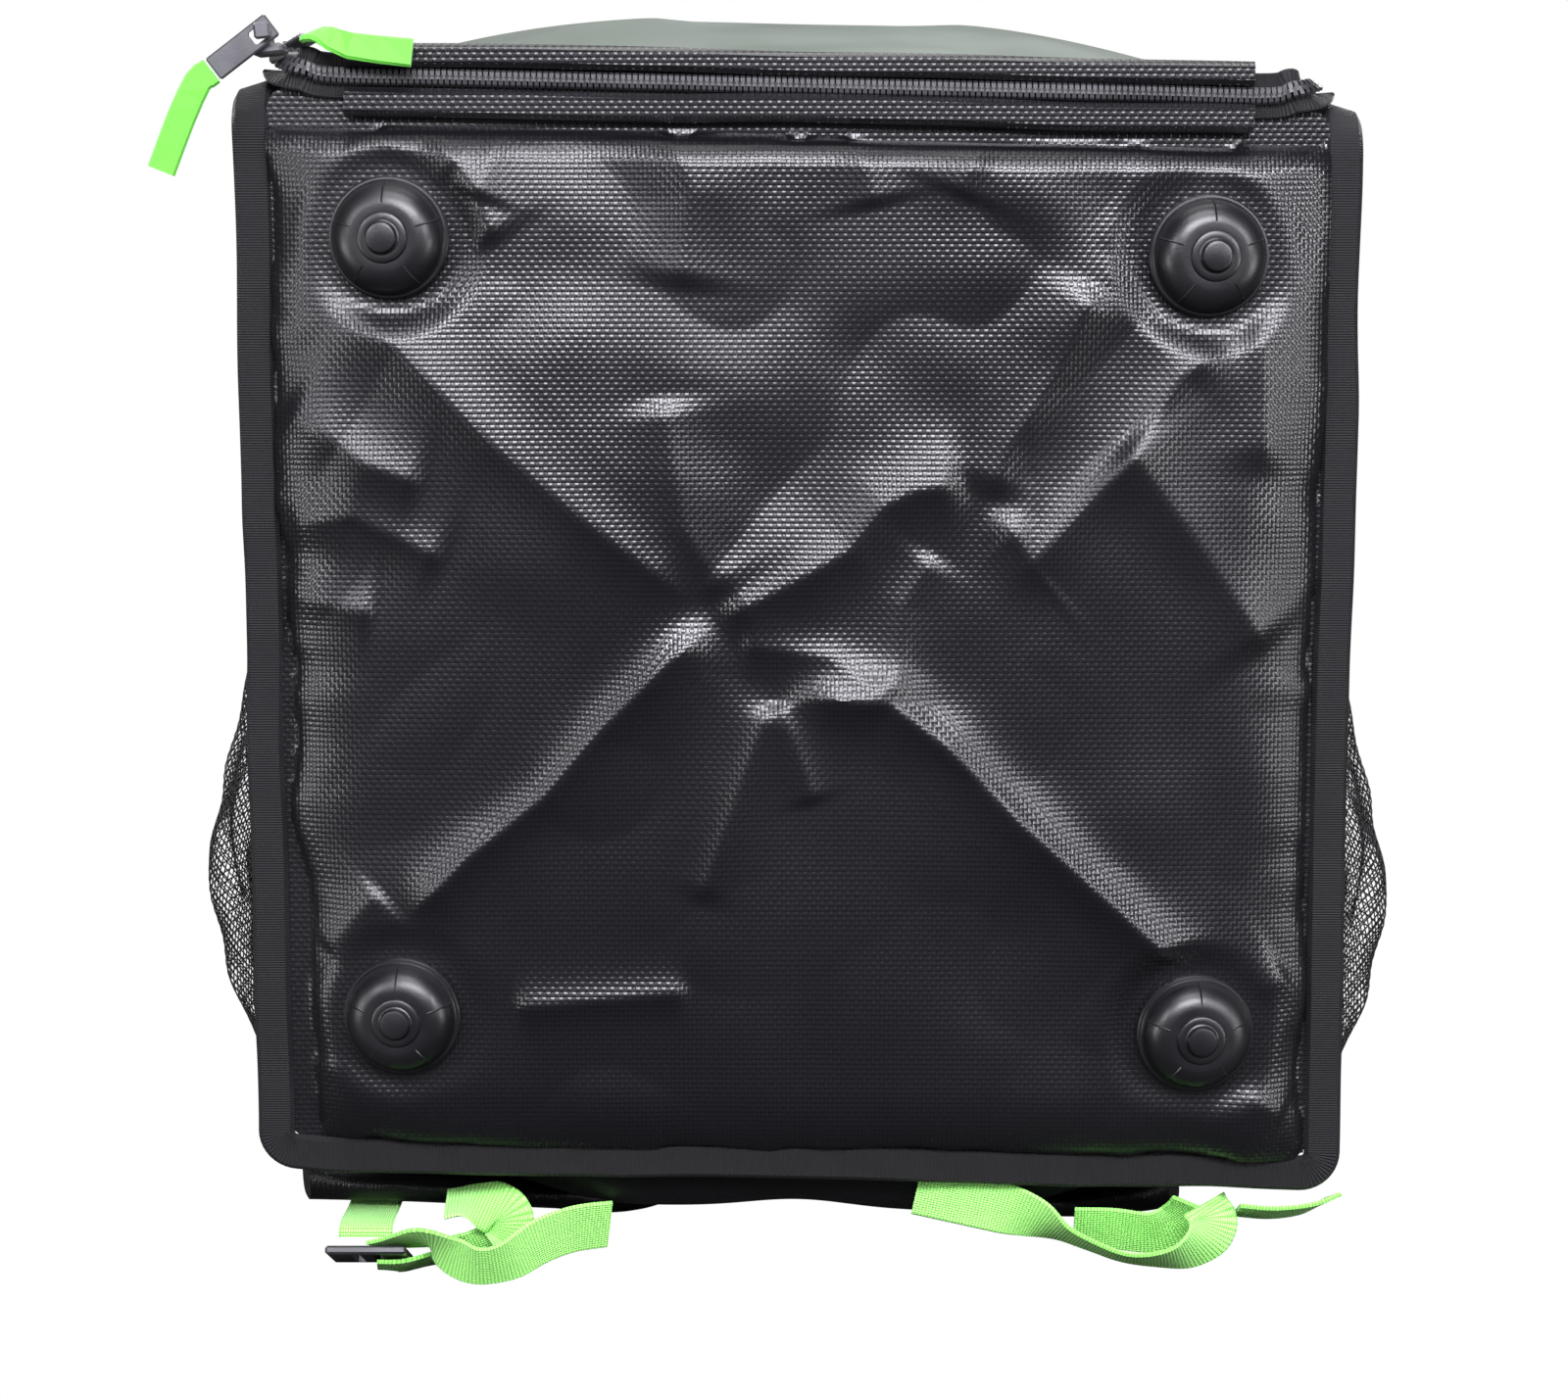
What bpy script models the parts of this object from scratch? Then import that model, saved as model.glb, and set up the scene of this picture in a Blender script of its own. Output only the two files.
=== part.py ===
"""Insulated delivery backpack, lying on its back on a flat surface with its underside facing -Y.

X runs across the bag, +Y from its underside to its top end, and +Z from its back to its front door.
The origin is the middle of the bag's footprint, on the surface. All lengths are in metres.
"""

import math

import bmesh
import bpy
from mathutils import Matrix, Vector

# The box of foam panels, measured over their outer faces.
WIDTH = 0.376
HEIGHT = 0.450
DEPTH = 0.386
WALL = 0.008
GAP = 0.0003
RIDE_HEIGHT = 0.054  # from the surface to the plane of the back panel
SLUMP = 0.022  # how far the right side sinks for each metre across

# Soft relief of the panels, outwards from their planes.
PUFF = 0.012  # underside fabric standing off its seam
PEAK = 0.006  # more where the folds of the underside cross
EDGE_CROWD = 0.12  # how far the underside's grid lines crowd towards its edges
SIDE_PUFF = 0.004
TOP_PUFF = 0.006
BACK_PUFF = 0.029
DOOR_PUFF = 0.028
DOOR_LIFT = 0.004  # door rim above the front plane

# Bound seams.
FLANGE = 0.012
TAPE_THICK = 0.004
TAPE_DROOP = 0.35  # fall of the tape's outer edge along the door, for each metre across
CORNER = 0.016

# Feet on the underside.
FOOT_RADIUS = 0.0215
FOOT_HEIGHT = 0.016
FOOT_RIM = 0.003
NUB_RADIUS = 0.0055
FOOT_INSET_X = 0.044  # from the side of the box to a foot's axis
FOOT_INSET_FRONT = 0.056
FOOT_INSET_BACK = 0.050

# Zip round three sides of the door.
ZIP_WIDTH = 0.016
ZIP_INSET = 0.005  # from the side of the box to the middle of the zip
ZIP_THICK = 0.0012
CHAIN_WIDTH = 0.006
CHAIN_THICK = 0.002
CHAIN_GAP = 0.0010
ZIP_ABOVE = 0.0002  # middle of the zip above the front plane, on the underside run
WELT_WIDTH = 0.010
WELT_THICK = 0.0042
WELT_REACH = 0.160  # half the length of the welts

SLIDER_SIZE = (0.011, 0.016, 0.0036)
BAIL_HEIGHT = 0.0043  # middle of the bail's bar above the slider
BAIL_HALF = 0.0050
BAIL_RADIUS = 0.0012
KNOB_RADIUS = 0.0029
KNOB_LENGTH = 0.0026
PULL_SIZE = (0.009, 0.026, 0.0020)
PULL_RISE = math.radians(7)  # of the right pull, over the corner of the zip
EYE_SIZE = (0.0052, 0.0068)
EYE_BAR = 0.0022
TAB_WIDTH = 0.010
TAB_THICK = 0.0026
TAB_GAP = 0.0008

# Mesh side pockets.
POCKET_THICK = 0.0016
POCKET_DROOP = 0.030
POCKET_LENGTH = 0.225
POCKET_LOW = 0.008  # above the back plane
POCKET_HIGH = 0.215
HEM_WIDTH = 0.012
HEM_THICK = 0.0032

# Shoulder straps.
PAD_WIDTH = 0.062
PAD_THICK = 0.014
PAD_SECTION = [
    # across as a share of the edge's roundness, and height as a share of half the thickness
    (1.0, 0.0),
    (0.62, 0.82),
    (0.001, 1.0),
    (-0.001, 1.0),
    (-0.62, 0.82),
    (-1.0, 0.0),
    (-0.62, -0.82),
    (-0.001, -1.0),
    (0.001, -1.0),
    (0.62, -0.82),
]
WEB_WIDTH = 0.020
WEB_THICK = 0.0016
BUCKLE_SIZE = (0.030, 0.026, 0.0032)
BUCKLE_SLOT = (0.0205, 0.0034)  # long way, and along the strap
BUCKLE_BAR = 0.0046
BUCKLE_AT = (-0.855, 0.205, 0.172)  # in the webbing tables' shares

HALF = WIDTH / 2
FRONT = RIDE_HEIGHT + DEPTH
FOOT_REACH = PUFF + FOOT_HEIGHT
SEAM = -(HEIGHT + TOP_PUFF - FOOT_REACH) / 2  # plane of the underside's seam
TOP = SEAM + HEIGHT
MID_DEPTH = RIDE_HEIGHT + DEPTH / 2

# Folds of the underside, as shares of its half width and half depth from its middle:
# start and end of the ridge, its height as a share of PUFF, and its breadth as a share of HALF.
FOLDS = [
    # x0, z0, x1, z1, height, breadth
    (-0.66, 0.57, -0.20, 0.06, 0.28, 0.075),
    (-0.13, 0.03, -0.70, -0.55, 0.34, 0.060),
    (-0.13, 0.03, 0.16, 0.27, 0.34, 0.070),
    (0.72, 0.56, 0.40, 0.14, 0.28, 0.075),
    (0.16, -0.11, 0.74, -0.66, 0.36, 0.070),
    (-0.06, -0.11, 0.16, -0.11, 0.22, 0.060),
    (0.46, 0.60, 0.35, 0.28, 0.22, 0.080),
]

# Folds of the door, in the same way over its half width and half height.
DOOR_FOLDS = [
    (-0.85, -0.85, -0.25, -0.35, 0.10, 0.16),
    (0.85, -0.85, 0.30, -0.30, 0.10, 0.16),
    (-0.20, -0.80, 0.35, -0.70, 0.05, 0.12),
]

# Route of each shoulder pad: share of HALF across, share of HEIGHT behind the underside's seam,
# how high in the room under the bag (0 on the surface, 1 against the back), and share of PAD_WIDTH.
PAD_LEFT = [
    # across, along, lift, breadth
    (-0.31, 0.935, 1.00, 1.00),
    (-0.31, 0.820, 0.90, 1.00),
    (-0.33, 0.680, 0.08, 1.00),
    (-0.35, 0.500, 0.00, 1.00),
    (-0.37, 0.330, 0.00, 1.00),
    (-0.42, 0.215, 0.30, 1.00),
    (-0.56, 0.155, 0.62, 1.00),
    (-0.74, 0.118, 0.62, 0.96),
    (-0.90, 0.098, 0.57, 0.72),
    (-1.00, 0.085, 0.55, 0.30),
]
PAD_RIGHT = [
    (0.31, 0.935, 1.00, 1.00),
    (0.31, 0.820, 0.90, 1.00),
    (0.32, 0.680, 0.08, 1.00),
    (0.34, 0.500, 0.00, 1.00),
    (0.36, 0.330, 0.00, 1.00),
    (0.40, 0.235, 0.28, 1.00),
    (0.48, 0.180, 0.60, 1.00),
    (0.60, 0.132, 0.66, 0.92),
    (0.70, 0.110, 0.64, 0.66),
    (0.77, 0.100, 0.62, 0.30),
]

# Routes of the webbing: share of HALF across, distance behind the underside's seam and height above
# the surface as shares of RIDE_HEIGHT, and the direction of the band's width.
WEB_LEFT = [
    # across, behind, up, width direction
    (-0.840, 0.185, 0.240, (0.00, -0.90, 0.42)),
    (-0.787, 0.140, 0.280, (0.00, -0.87, 0.49)),
    (-0.734, 0.040, 0.315, (0.20, -0.80, 0.55)),
    (-0.680, -0.010, 0.222, (0.45, -0.50, 0.74)),
    (-0.628, -0.055, 0.174, (0.10, -0.50, 0.86)),
    (-0.570, -0.020, 0.205, (-0.35, -0.50, 0.79)),
    (-0.510, 0.090, 0.303, (-0.30, -0.35, 0.89)),
    (-0.447, 0.200, 0.353, (-0.05, -0.25, 0.97)),
    (-0.378, 0.315, 0.355, (0.15, -0.20, 0.97)),
]
TAIL_LEFT = [
    (-0.700, 0.190, 0.520, (0.25, 0.90, 0.30)),
    (-0.655, 0.185, 0.545, (0.55, 0.75, 0.30)),
    (-0.617, 0.165, 0.525, (0.80, 0.45, 0.40)),
    (-0.580, 0.165, 0.443, (0.80, 0.10, 0.55)),
    (-0.590, 0.160, 0.270, (0.60, -0.10, 0.76)),
    (-0.649, 0.220, 0.172, (0.15, -0.45, 0.88)),
    (-0.718, 0.380, 0.100, (0.00, -0.87, 0.48)),
    (-0.787, 0.240, 0.090, (0.00, -0.89, 0.45)),
    (-0.840, 0.213, 0.098, (0.00, -0.90, 0.42)),
]
LOOP_LEFT = [
    (-0.858, 0.800, 0.385, (1.00, 0.00, 0.00)),
    (-0.858, 0.500, 0.385, (1.00, 0.00, 0.00)),
    (-0.858, 0.250, 0.395, (1.00, 0.00, 0.00)),
    (-0.858, 0.125, 0.370, (1.00, 0.00, 0.00)),
    (-0.858, 0.105, 0.318, (1.00, 0.00, 0.00)),
]
WEB_RIGHT = [
    (0.235, 0.124, 0.690, (0.15, 0.00, 0.99)),
    (0.320, 0.110, 0.630, (0.15, 0.00, 0.99)),
    (0.400, 0.095, 0.570, (0.10, -0.05, 0.99)),
    (0.468, 0.090, 0.495, (0.30, -0.45, 0.85)),
    (0.521, 0.074, 0.400, (0.35, -0.85, 0.40)),
    (0.585, 0.046, 0.303, (0.30, -0.90, 0.30)),
    (0.644, 0.018, 0.234, (0.10, -0.92, 0.40)),
    (0.702, -0.009, 0.226, (-0.10, -0.85, 0.50)),
    (0.761, -0.028, 0.266, (-0.45, -0.65, 0.60)),
    (0.803, -0.018, 0.376, (-0.75, -0.40, 0.50)),
    (0.819, 0.040, 0.515, (-0.88, -0.05, 0.47)),
    (0.803, 0.090, 0.620, (-0.90, 0.00, 0.42)),
]
INNER_RIGHT = [
    (0.553, 0.350, 0.350, (0.00, -0.45, 0.89)),
    (0.628, 0.330, 0.345, (0.10, -0.40, 0.90)),
    (0.702, 0.290, 0.330, (0.05, -0.40, 0.90)),
    (0.755, 0.270, 0.390, (-0.45, -0.20, 0.86)),
    (0.780, 0.190, 0.500, (-0.80, -0.10, 0.60)),
    (0.790, 0.112, 0.590, (-0.90, 0.00, 0.42)),
]
TAIL_RIGHT = [
    (0.8695, 0.130, 0.560, (0.00, -0.88, 0.45)),
    (0.940, 0.125, 0.545, (0.00, -0.88, 0.45)),
    (1.010, 0.145, 0.575, (0.15, -0.87, 0.45)),
    (1.065, 0.200, 0.650, (0.35, -0.80, 0.45)),
]


def place(x, y, z):
    """A point of the bag's own box, with the lean that the soft bag takes."""
    return Vector((x, y, z - SLUMP * x))


def smooth(edge0, edge1, value):
    share = min(1.0, max(0.0, (value - edge0) / (edge1 - edge0)))
    return share * share * (3 - 2 * share)


def clear_scene():
    for obj in list(bpy.data.objects):
        bpy.data.objects.remove(obj)


def material(name, colour, roughness, metallic=0.0):
    made = bpy.data.materials.new(name)
    made.use_nodes = True
    shader = made.node_tree.nodes["Principled BSDF"]
    shader.inputs["Base Color"].default_value = (*colour, 1.0)
    shader.inputs["Roughness"].default_value = roughness
    shader.inputs["Metallic"].default_value = metallic
    return made


def add_object(name, mesh, group, finish, flat=False):
    obj = bpy.data.objects.new(name, mesh)
    group.objects.link(obj)
    mesh.materials.append(finish)
    if not flat:
        mesh.shade_smooth()
        mesh.set_sharp_from_angle(angle=math.radians(40))
    return obj


def mesh_from(bm, name):
    bmesh.ops.recalc_face_normals(bm, faces=bm.faces[:])
    mesh = bpy.data.meshes.new(name)
    bm.to_mesh(mesh)
    bm.free()
    return mesh


def rounded(u, v, half_x, half_y, radius):
    """Carries a square grid's point to a rectangle with rounded corners."""
    x, y = u * half_x, v * half_y
    a = (abs(x) - (half_x - radius)) / radius
    b = (abs(y) - (half_y - radius)) / radius
    if a > 0 and b > 0:
        a, b = a * math.sqrt(1 - b * b / 2), b * math.sqrt(1 - a * a / 2)
        x = math.copysign(half_x - radius + a * radius, x)
        y = math.copysign(half_y - radius + b * radius, y)
    return x, y


def panel(name, group, finish, columns, rows, shape, flat_inside=True):
    """A padded slab. shape(u, v, outer) gives its points, with u and v from -1 to 1."""
    bm = bmesh.new()
    bmesh.ops.create_grid(bm, x_segments=columns, y_segments=rows, size=1.0)
    for face in bm.faces:
        face.normal_flip()
    made = bmesh.ops.extrude_face_region(bm, geom=bm.faces[:], use_keep_orig=True)
    outer = {v for v in made["geom"] if isinstance(v, bmesh.types.BMVert)}
    inside = [f for f in bm.faces if not any(v in outer for v in f.verts)]
    if flat_inside:
        bmesh.ops.dissolve_faces(bm, faces=inside, use_verts=False)
    for vert in bm.verts:
        vert.co = shape(vert.co.x, vert.co.y, vert in outer)
    return add_object(name, mesh_from(bm, name), group, finish)


def fold_height(folds, u, v):
    """Height of the ridges at a place given in shares, as a share of the panel's puff."""
    height = 0.0
    for x0, z0, x1, z1, share, breadth in folds:
        along = Vector((x1 - x0, z1 - z0))
        reach = along.length
        along.normalize()
        off = Vector((u - x0, v - z0))
        position = off.dot(along)
        away = abs(off.x * along.y - off.y * along.x)
        ends = smooth(-breadth, breadth, position) * smooth(-breadth, breadth, reach - position)
        height += share * ends * math.exp(-((away / breadth) ** 2))
    return height


def feet_places():
    """Name, x and z of each foot's axis on the underside."""
    x = HALF - FOOT_INSET_X
    high, low = FRONT - FOOT_INSET_FRONT, RIDE_HEIGHT + FOOT_INSET_BACK
    return [
        ("foot_front_left", -x, high),
        ("foot_front_right", x, high),
        ("foot_back_left", -x, low),
        ("foot_back_right", x, low),
    ]


def underside_height(x, z):
    """How far the underside's fabric stands in front of its seam."""
    side = HALF - abs(x)
    back = z - RIDE_HEIGHT
    front = FRONT - WELT_WIDTH - ZIP_WIDTH / 2 - z
    rise = 0.018
    roll = smooth(0.0015, rise, side) * smooth(0.001, rise, back) * smooth(0.0, rise / 2, front)
    u, v = x / HALF, (z - MID_DEPTH) / (DEPTH / 2)
    crossing = max(abs(u + 0.06), abs(v - 0.02))
    height = roll * (PUFF + PEAK * max(0.0, 1 - crossing) + PUFF * fold_height(FOLDS, u, v))
    for _, foot_x, foot_z in feet_places():
        near = math.hypot(x - foot_x, z - foot_z)
        seat = smooth(FOOT_RADIUS * 2.0, FOOT_RADIUS * 1.35, near)
        height += (PUFF - height) * seat
    return height


def build_underside(group, fabric):
    low, high = RIDE_HEIGHT, FRONT - WELT_THICK
    middle, half_z = (low + high) / 2, (high - low) / 2

    def shape(u, v, outer):
        u, v = u + EDGE_CROWD * math.sin(math.pi * u), v + EDGE_CROWD * math.sin(math.pi * v)
        x, z = rounded(u, v, HALF, half_z, CORNER / 2)
        z += middle
        y = SEAM - underside_height(x, z) if outer else SEAM + WALL
        return place(x, y, z)

    panel("bottom_panel", group, fabric, 32, 32, shape)


def build_sides(group, fabric):
    low, high = RIDE_HEIGHT + WALL + GAP, FRONT
    near, far = SEAM + WALL + GAP, TOP - WALL - GAP
    for name, sign in (("side_panel_left", -1), ("side_panel_right", 1)):

        def shape(u, v, outer, sign=sign):
            y = (near + far) / 2 + u * (far - near) / 2
            z = (low + high) / 2 + v * (high - low) / 2
            puff = SIDE_PUFF * (1 - u**4) * (1 - v**4)
            x = HALF + puff if outer else HALF - WALL
            return place(sign * x, y, z)

        panel(name, group, fabric, 8, 8, shape)


def build_top(group, fabric):
    def shape(u, v, outer):
        x, z = rounded(u, v, HALF, DEPTH / 2, CORNER / 2)
        puff = TOP_PUFF * (1 - u**4) * (1 - v**4)
        y = TOP + puff if outer else TOP - WALL
        return place(x, y, z + MID_DEPTH)

    panel("top_panel", group, fabric, 8, 8, shape)


def back_depth(x, y):
    """How far the padded back bulges below its plane."""
    u, v = x / HALF, (y - (SEAM + TOP) / 2) / (HEIGHT / 2)
    across = smooth(0.95, 0.30, abs(u))
    along = smooth(1.0, 0.91, abs(v)) ** 0.6
    spine = 1 - 0.12 * math.exp(-((u / 0.14) ** 2))
    return BACK_PUFF * across * along * spine


def build_back(group, fabric):
    near, far = SEAM + WALL + GAP, TOP - WALL - GAP

    def shape(u, v, outer):
        x, y = u * HALF, (near + far) / 2 + v * (far - near) / 2
        z = RIDE_HEIGHT - back_depth(x, y) if outer else RIDE_HEIGHT + WALL
        return place(x, y, z)

    panel("back_panel", group, fabric, 16, 16, shape)


def door_edges():
    """Half width, near edge and far edge of the door."""
    return HALF - WALL - GAP, SEAM + WALL + GAP, TOP - WALL - GAP


def door_height(x, y):
    """Height of the door's outer face above the front plane."""
    half, near, far = door_edges()
    u = x / half
    along = (y - near) / (far - near)
    across = 1 - abs(u) ** 3.4
    rise = smooth(0.0, 0.34, along) ** 0.75 * smooth(1.0, 0.55, along) ** 0.8
    folds = fold_height(DOOR_FOLDS, u, 2 * along - 1)
    rim = smooth(ZIP_WIDTH * 0.75, ZIP_WIDTH * 1.4, half - abs(x)) * smooth(0.0, 0.06, along)
    inside = smooth(ZIP_WIDTH * 0.7, ZIP_WIDTH * 2.2, half - abs(x))
    return DOOR_LIFT * rim + DOOR_PUFF * inside * across * rise * (1 + folds)


def build_door(group, fabric):
    half, near, far = door_edges()

    def shape(u, v, outer):
        u += EDGE_CROWD * math.sin(math.pi * u)
        x, y = u * half, (near + far) / 2 + v * (far - near) / 2
        z = FRONT + door_height(x, y) - (0 if outer else WALL)
        return place(x, y, z)

    panel("door_panel", group, fabric, 24, 14, shape, flat_inside=False)


def loft(name, group, finish, rings, closed=False):
    """A body through rings of points, each ring with as many points as the next."""
    bm = bmesh.new()
    made = [[bm.verts.new(point) for point in ring] for ring in rings]
    count = len(made[0])
    pairs = list(zip(made, made[1:] + made[:1])) if closed else list(zip(made, made[1:]))
    for first, second in pairs:
        for i in range(count):
            j = (i + 1) % count
            bm.faces.new((first[i], first[j], second[j], second[i]))
    if not closed:
        bm.faces.new(made[0])
        bm.faces.new(made[-1])
    return add_object(name, mesh_from(bm, name), group, finish)


def through(points, count):
    """count points spread over a smooth curve through the given ones, which may hold any numbers."""
    rows = [Vector(p) for p in points]
    rows = [2 * rows[0] - rows[1]] + rows + [2 * rows[-1] - rows[-2]]
    spans = len(rows) - 3
    out = []
    for i in range(count):
        at = i * spans / (count - 1)
        k = min(int(at), spans - 1)
        t = at - k
        a, b, c, d = rows[k : k + 4]
        out.append(
            0.5 * (2 * b + (c - a) * t + (2 * a - 5 * b + 4 * c - d) * t**2 + (3 * b - a - 3 * c + d) * t**3)
        )
    return out


def band_rings(centres, widths, width, thick, bevel=0.25, closed=False):
    """Rings of a flat band: its middle line, the direction of its width, and its sizes.

    width may be one number or one for each ring."""
    rings = []
    last = len(centres) - 1
    for i, (centre, across) in enumerate(zip(centres, widths)):
        before = centres[i - 1] if i or closed else centre
        after = centres[(i + 1) % (last + 1)] if i < last or closed else centre
        along = (after - before).normalized()
        side = (across - along * across.dot(along)).normalized()
        up = along.cross(side)
        half = (width[i] if isinstance(width, list) else width) / 2
        inner = half - min(thick, half) * bevel * 2
        ring = [
            centre + side * half,
            centre + side * inner + up * thick / 2,
            centre - side * inner + up * thick / 2,
            centre - side * half,
            centre - side * inner - up * thick / 2,
            centre + side * inner - up * thick / 2,
        ]
        rings.append(ring)
    return rings


def arc(middle, start, end, steps):
    """Points from start to end, in even steps of angle about a middle, both ends included."""
    a, b = start - middle, end - middle
    angle = a.angle(b)
    return [
        middle + (a * math.sin((1 - k / steps) * angle) + b * math.sin(k / steps * angle)) / math.sin(angle)
        for k in range(steps + 1)
    ]


def build_bottom_binding(group, tape):
    """One tape: down the door's left edge, round the underside on three sides, and back up."""
    outer = HALF + GAP + FLANGE / 2
    low = RIDE_HEIGHT - GAP - FLANGE / 2
    high_fall = FLANGE / 2 * TAPE_DROOP
    side_turn = FLANGE / 2 + 0.002
    front_turn = CORNER
    far = TOP - TAPE_THICK / 2 - GAP
    near = SEAM
    high = FRONT - TAPE_THICK / 2 - high_fall
    left, down = Vector((-1, 0, 0)), Vector((0, 0, -1))
    droop = (left + down * TAPE_DROOP).normalized()

    path, widths = [], []
    for k in range(8):
        path.append(Vector((-outer, far + (near + front_turn - far) * k / 8, high)))
        widths.append(droop)
    turn = arc(
        Vector((-outer, near + front_turn, high - front_turn)),
        Vector((-outer, near + front_turn, high)),
        Vector((-outer, near, high - front_turn)),
        6,
    )
    for k, point in enumerate(turn):
        path.append(point)
        widths.append((droop * (6 - k) + left * k).normalized())
    for k in range(1, 8):
        path.append(Vector((-outer, near, high - front_turn + (low + side_turn - high + front_turn) * k / 8)))
        widths.append(left)
    for k in range(7):
        angle = math.pi / 2 * k / 6
        path.append(
            Vector((-outer + side_turn * (1 - math.cos(angle)), near, low + side_turn * (1 - math.sin(angle))))
        )
        widths.append((left * math.cos(angle) + down * math.sin(angle)).normalized())
    for k in range(1, 5):
        path.append(Vector(((-outer + side_turn) * (1 - k / 5), near, low)))
        widths.append(down)
    path.append(Vector((0, near, low)))
    widths.append(down)
    mirrored = [Vector((-p.x, p.y, p.z)) for p in reversed(path[:-1])]
    turned = [Vector((-w.x, w.y, w.z)) for w in reversed(widths[:-1])]
    path, widths = path + mirrored, widths + turned
    path = [place(*p) for p in path]
    loft("binding_bottom", group, tape, band_rings(path, widths, FLANGE, TAPE_THICK))


def build_top_binding(group, tape):
    """A closed loop of tape round the top end."""
    outer = HALF + GAP + FLANGE / 2
    low, high = RIDE_HEIGHT - GAP - FLANGE / 2, FRONT + GAP + FLANGE / 2
    path, widths = [], []
    steps = 5
    corners = [(-1, 1, 90), (-1, -1, 180), (1, -1, 270), (1, 1, 0)]
    half_z = (high - low) / 2
    radius = CORNER
    for sign_x, sign_z, start in corners:
        for k in range(steps + 1):
            angle = math.radians(start + 90 * k / steps)
            x = sign_x * (outer - radius) + radius * math.cos(angle)
            z = (high + low) / 2 + sign_z * (half_z - radius) + radius * math.sin(angle)
            path.append(place(x, TOP + TAPE_THICK / 2 + GAP, z))
            widths.append(Vector((math.cos(angle), 0, math.sin(angle))))
    loft("binding_top", group, tape, band_rings(path, widths, FLANGE, TAPE_THICK, closed=True), closed=True)


def build_back_bindings(group, tape):
    near, far = SEAM + TAPE_THICK / 2 + GAP, TOP - GAP
    for name, sign in (("binding_back_left", -1), ("binding_back_right", 1)):
        x = sign * (HALF + GAP + FLANGE / 2)
        path = [place(x, near + (far - near) * k / 6, RIDE_HEIGHT + WALL / 2) for k in range(7)]
        widths = [Vector((sign, 0, 0))] * len(path)
        loft(name, group, tape, band_rings(path, widths, FLANGE, TAPE_THICK))


def build_feet(group, rubber):
    """Domed feet, each turned from one profile and tipped outwards with the fabric."""
    dome = FOOT_HEIGHT - FOOT_RIM
    profile = [(0.0, FOOT_HEIGHT), (NUB_RADIUS, FOOT_HEIGHT), (NUB_RADIUS * 1.15, FOOT_HEIGHT - 0.002)]
    ring_radius = NUB_RADIUS * 1.75
    for k in range(4):
        angle = math.radians(76 - 22 * k)
        profile.append((ring_radius + (FOOT_RADIUS * 0.9 - ring_radius) * math.cos(angle),
                        FOOT_RIM + (dome - 0.002) * math.sin(angle)))
    profile += [(FOOT_RADIUS * 0.91, FOOT_RIM), (FOOT_RADIUS, FOOT_RIM * 0.8), (FOOT_RADIUS, 0.0), (0.0, 0.0)]
    for name, x, z in feet_places():
        mesh = bpy.data.meshes.new(name)
        mesh.from_pydata([(r, 0.0, h) for r, h in profile],
                         [(i, i + 1) for i in range(len(profile) - 1)], [])
        obj = add_object(name, mesh, group, rubber)
        screw = obj.modifiers.new("Turn", "SCREW")
        screw.axis = "Z"
        screw.steps = screw.render_steps = 18
        screw.use_merge_vertices = True
        screw.merge_threshold = 0.00005
        obj.location = place(x, SEAM - PUFF - GAP, z)
        obj.rotation_euler = (math.radians(90), 0, 0)


def zip_line():
    """Middle of the zip from the top end of the left side, round the underside, to the right side.

    Gives points and the direction from the box's side of the tape to the door's side."""
    x = HALF - ZIP_INSET
    above = FRONT + GAP + ZIP_THICK / 2
    front = SEAM - GAP - ZIP_THICK / 2
    far = TOP - WALL - ZIP_WIDTH
    corner = ZIP_WIDTH * 0.9
    rise = FRONT + ZIP_ABOVE
    rows = []
    for k in range(7):
        rows.append((-x, far + (SEAM + corner * 1.5 - far) * k / 6, above, (1, 0, 0)))
    rows.append((-x + 0.0005, SEAM + corner * 0.7, above + 0.0008, (0.95, 0, 0.1)))
    rows.append((-x + 0.003, SEAM + corner * 0.15, above + 0.0008, (0.75, 0.1, 0.6)))
    rows.append((-x + 0.009, front - 0.0008, rise + 0.002, (0.3, 0.1, 0.95)))
    rows.append((-x + 0.018, front, rise, (0, 0, 1)))
    for k in range(1, 4):
        rows.append((-(x - 0.018) * (1 - k / 4), front, rise, (0, 0, 1)))
    half = list(rows)
    rows.append((0, front, rise, (0, 0, 1)))
    for px, py, pz, (wx, wy, wz) in reversed(half):
        rows.append((-px, py, pz, (-wx, wy, wz)))
    count = 2 * len(rows) - 1
    points = through([row[:3] for row in rows], count)
    widths = through([row[3] for row in rows], count)
    return [place(*p) for p in points], [w.normalized() for w in widths]


def build_zip(group, tape, chain, fabric):
    points, widths = zip_line()
    loft("zip_tape", group, tape, band_rings(points, widths, ZIP_WIDTH, ZIP_THICK))
    lift = ZIP_THICK / 2 + CHAIN_GAP + CHAIN_THICK / 2
    raised = []
    last = len(points) - 1
    for i, (point, across) in enumerate(zip(points, widths)):
        along = points[min(i + 1, last)] - points[max(i - 1, 0)]
        turned = min(abs(across.x), abs(across.z))
        raised.append(point + along.cross(across).normalized() * (lift + CHAIN_GAP * 2 * turned))
    loft("zip_chain", group, chain, band_rings(raised, widths, CHAIN_WIDTH, CHAIN_THICK))

    middle = FRONT + ZIP_ABOVE
    clear = CHAIN_WIDTH / 2 + GAP
    forward = SEAM - ZIP_THICK - 2 * GAP - WELT_THICK / 2
    stations = [-1 + 2 * k / 12 for k in range(13)]
    low = [place(s * WELT_REACH, forward, middle - clear - WELT_WIDTH / 2) for s in stations]
    upright = [Vector((0, 0, 1))] * len(stations)
    loft("zip_welt_lower", group, fabric, band_rings(low, upright, WELT_WIDTH, WELT_THICK))
    high = [place(s * WELT_REACH, forward, middle + clear + WELT_WIDTH * 0.42) for s in stations]
    loft("zip_welt_upper", group, fabric, band_rings(high, upright, WELT_WIDTH * 0.84, WELT_THICK))


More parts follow.
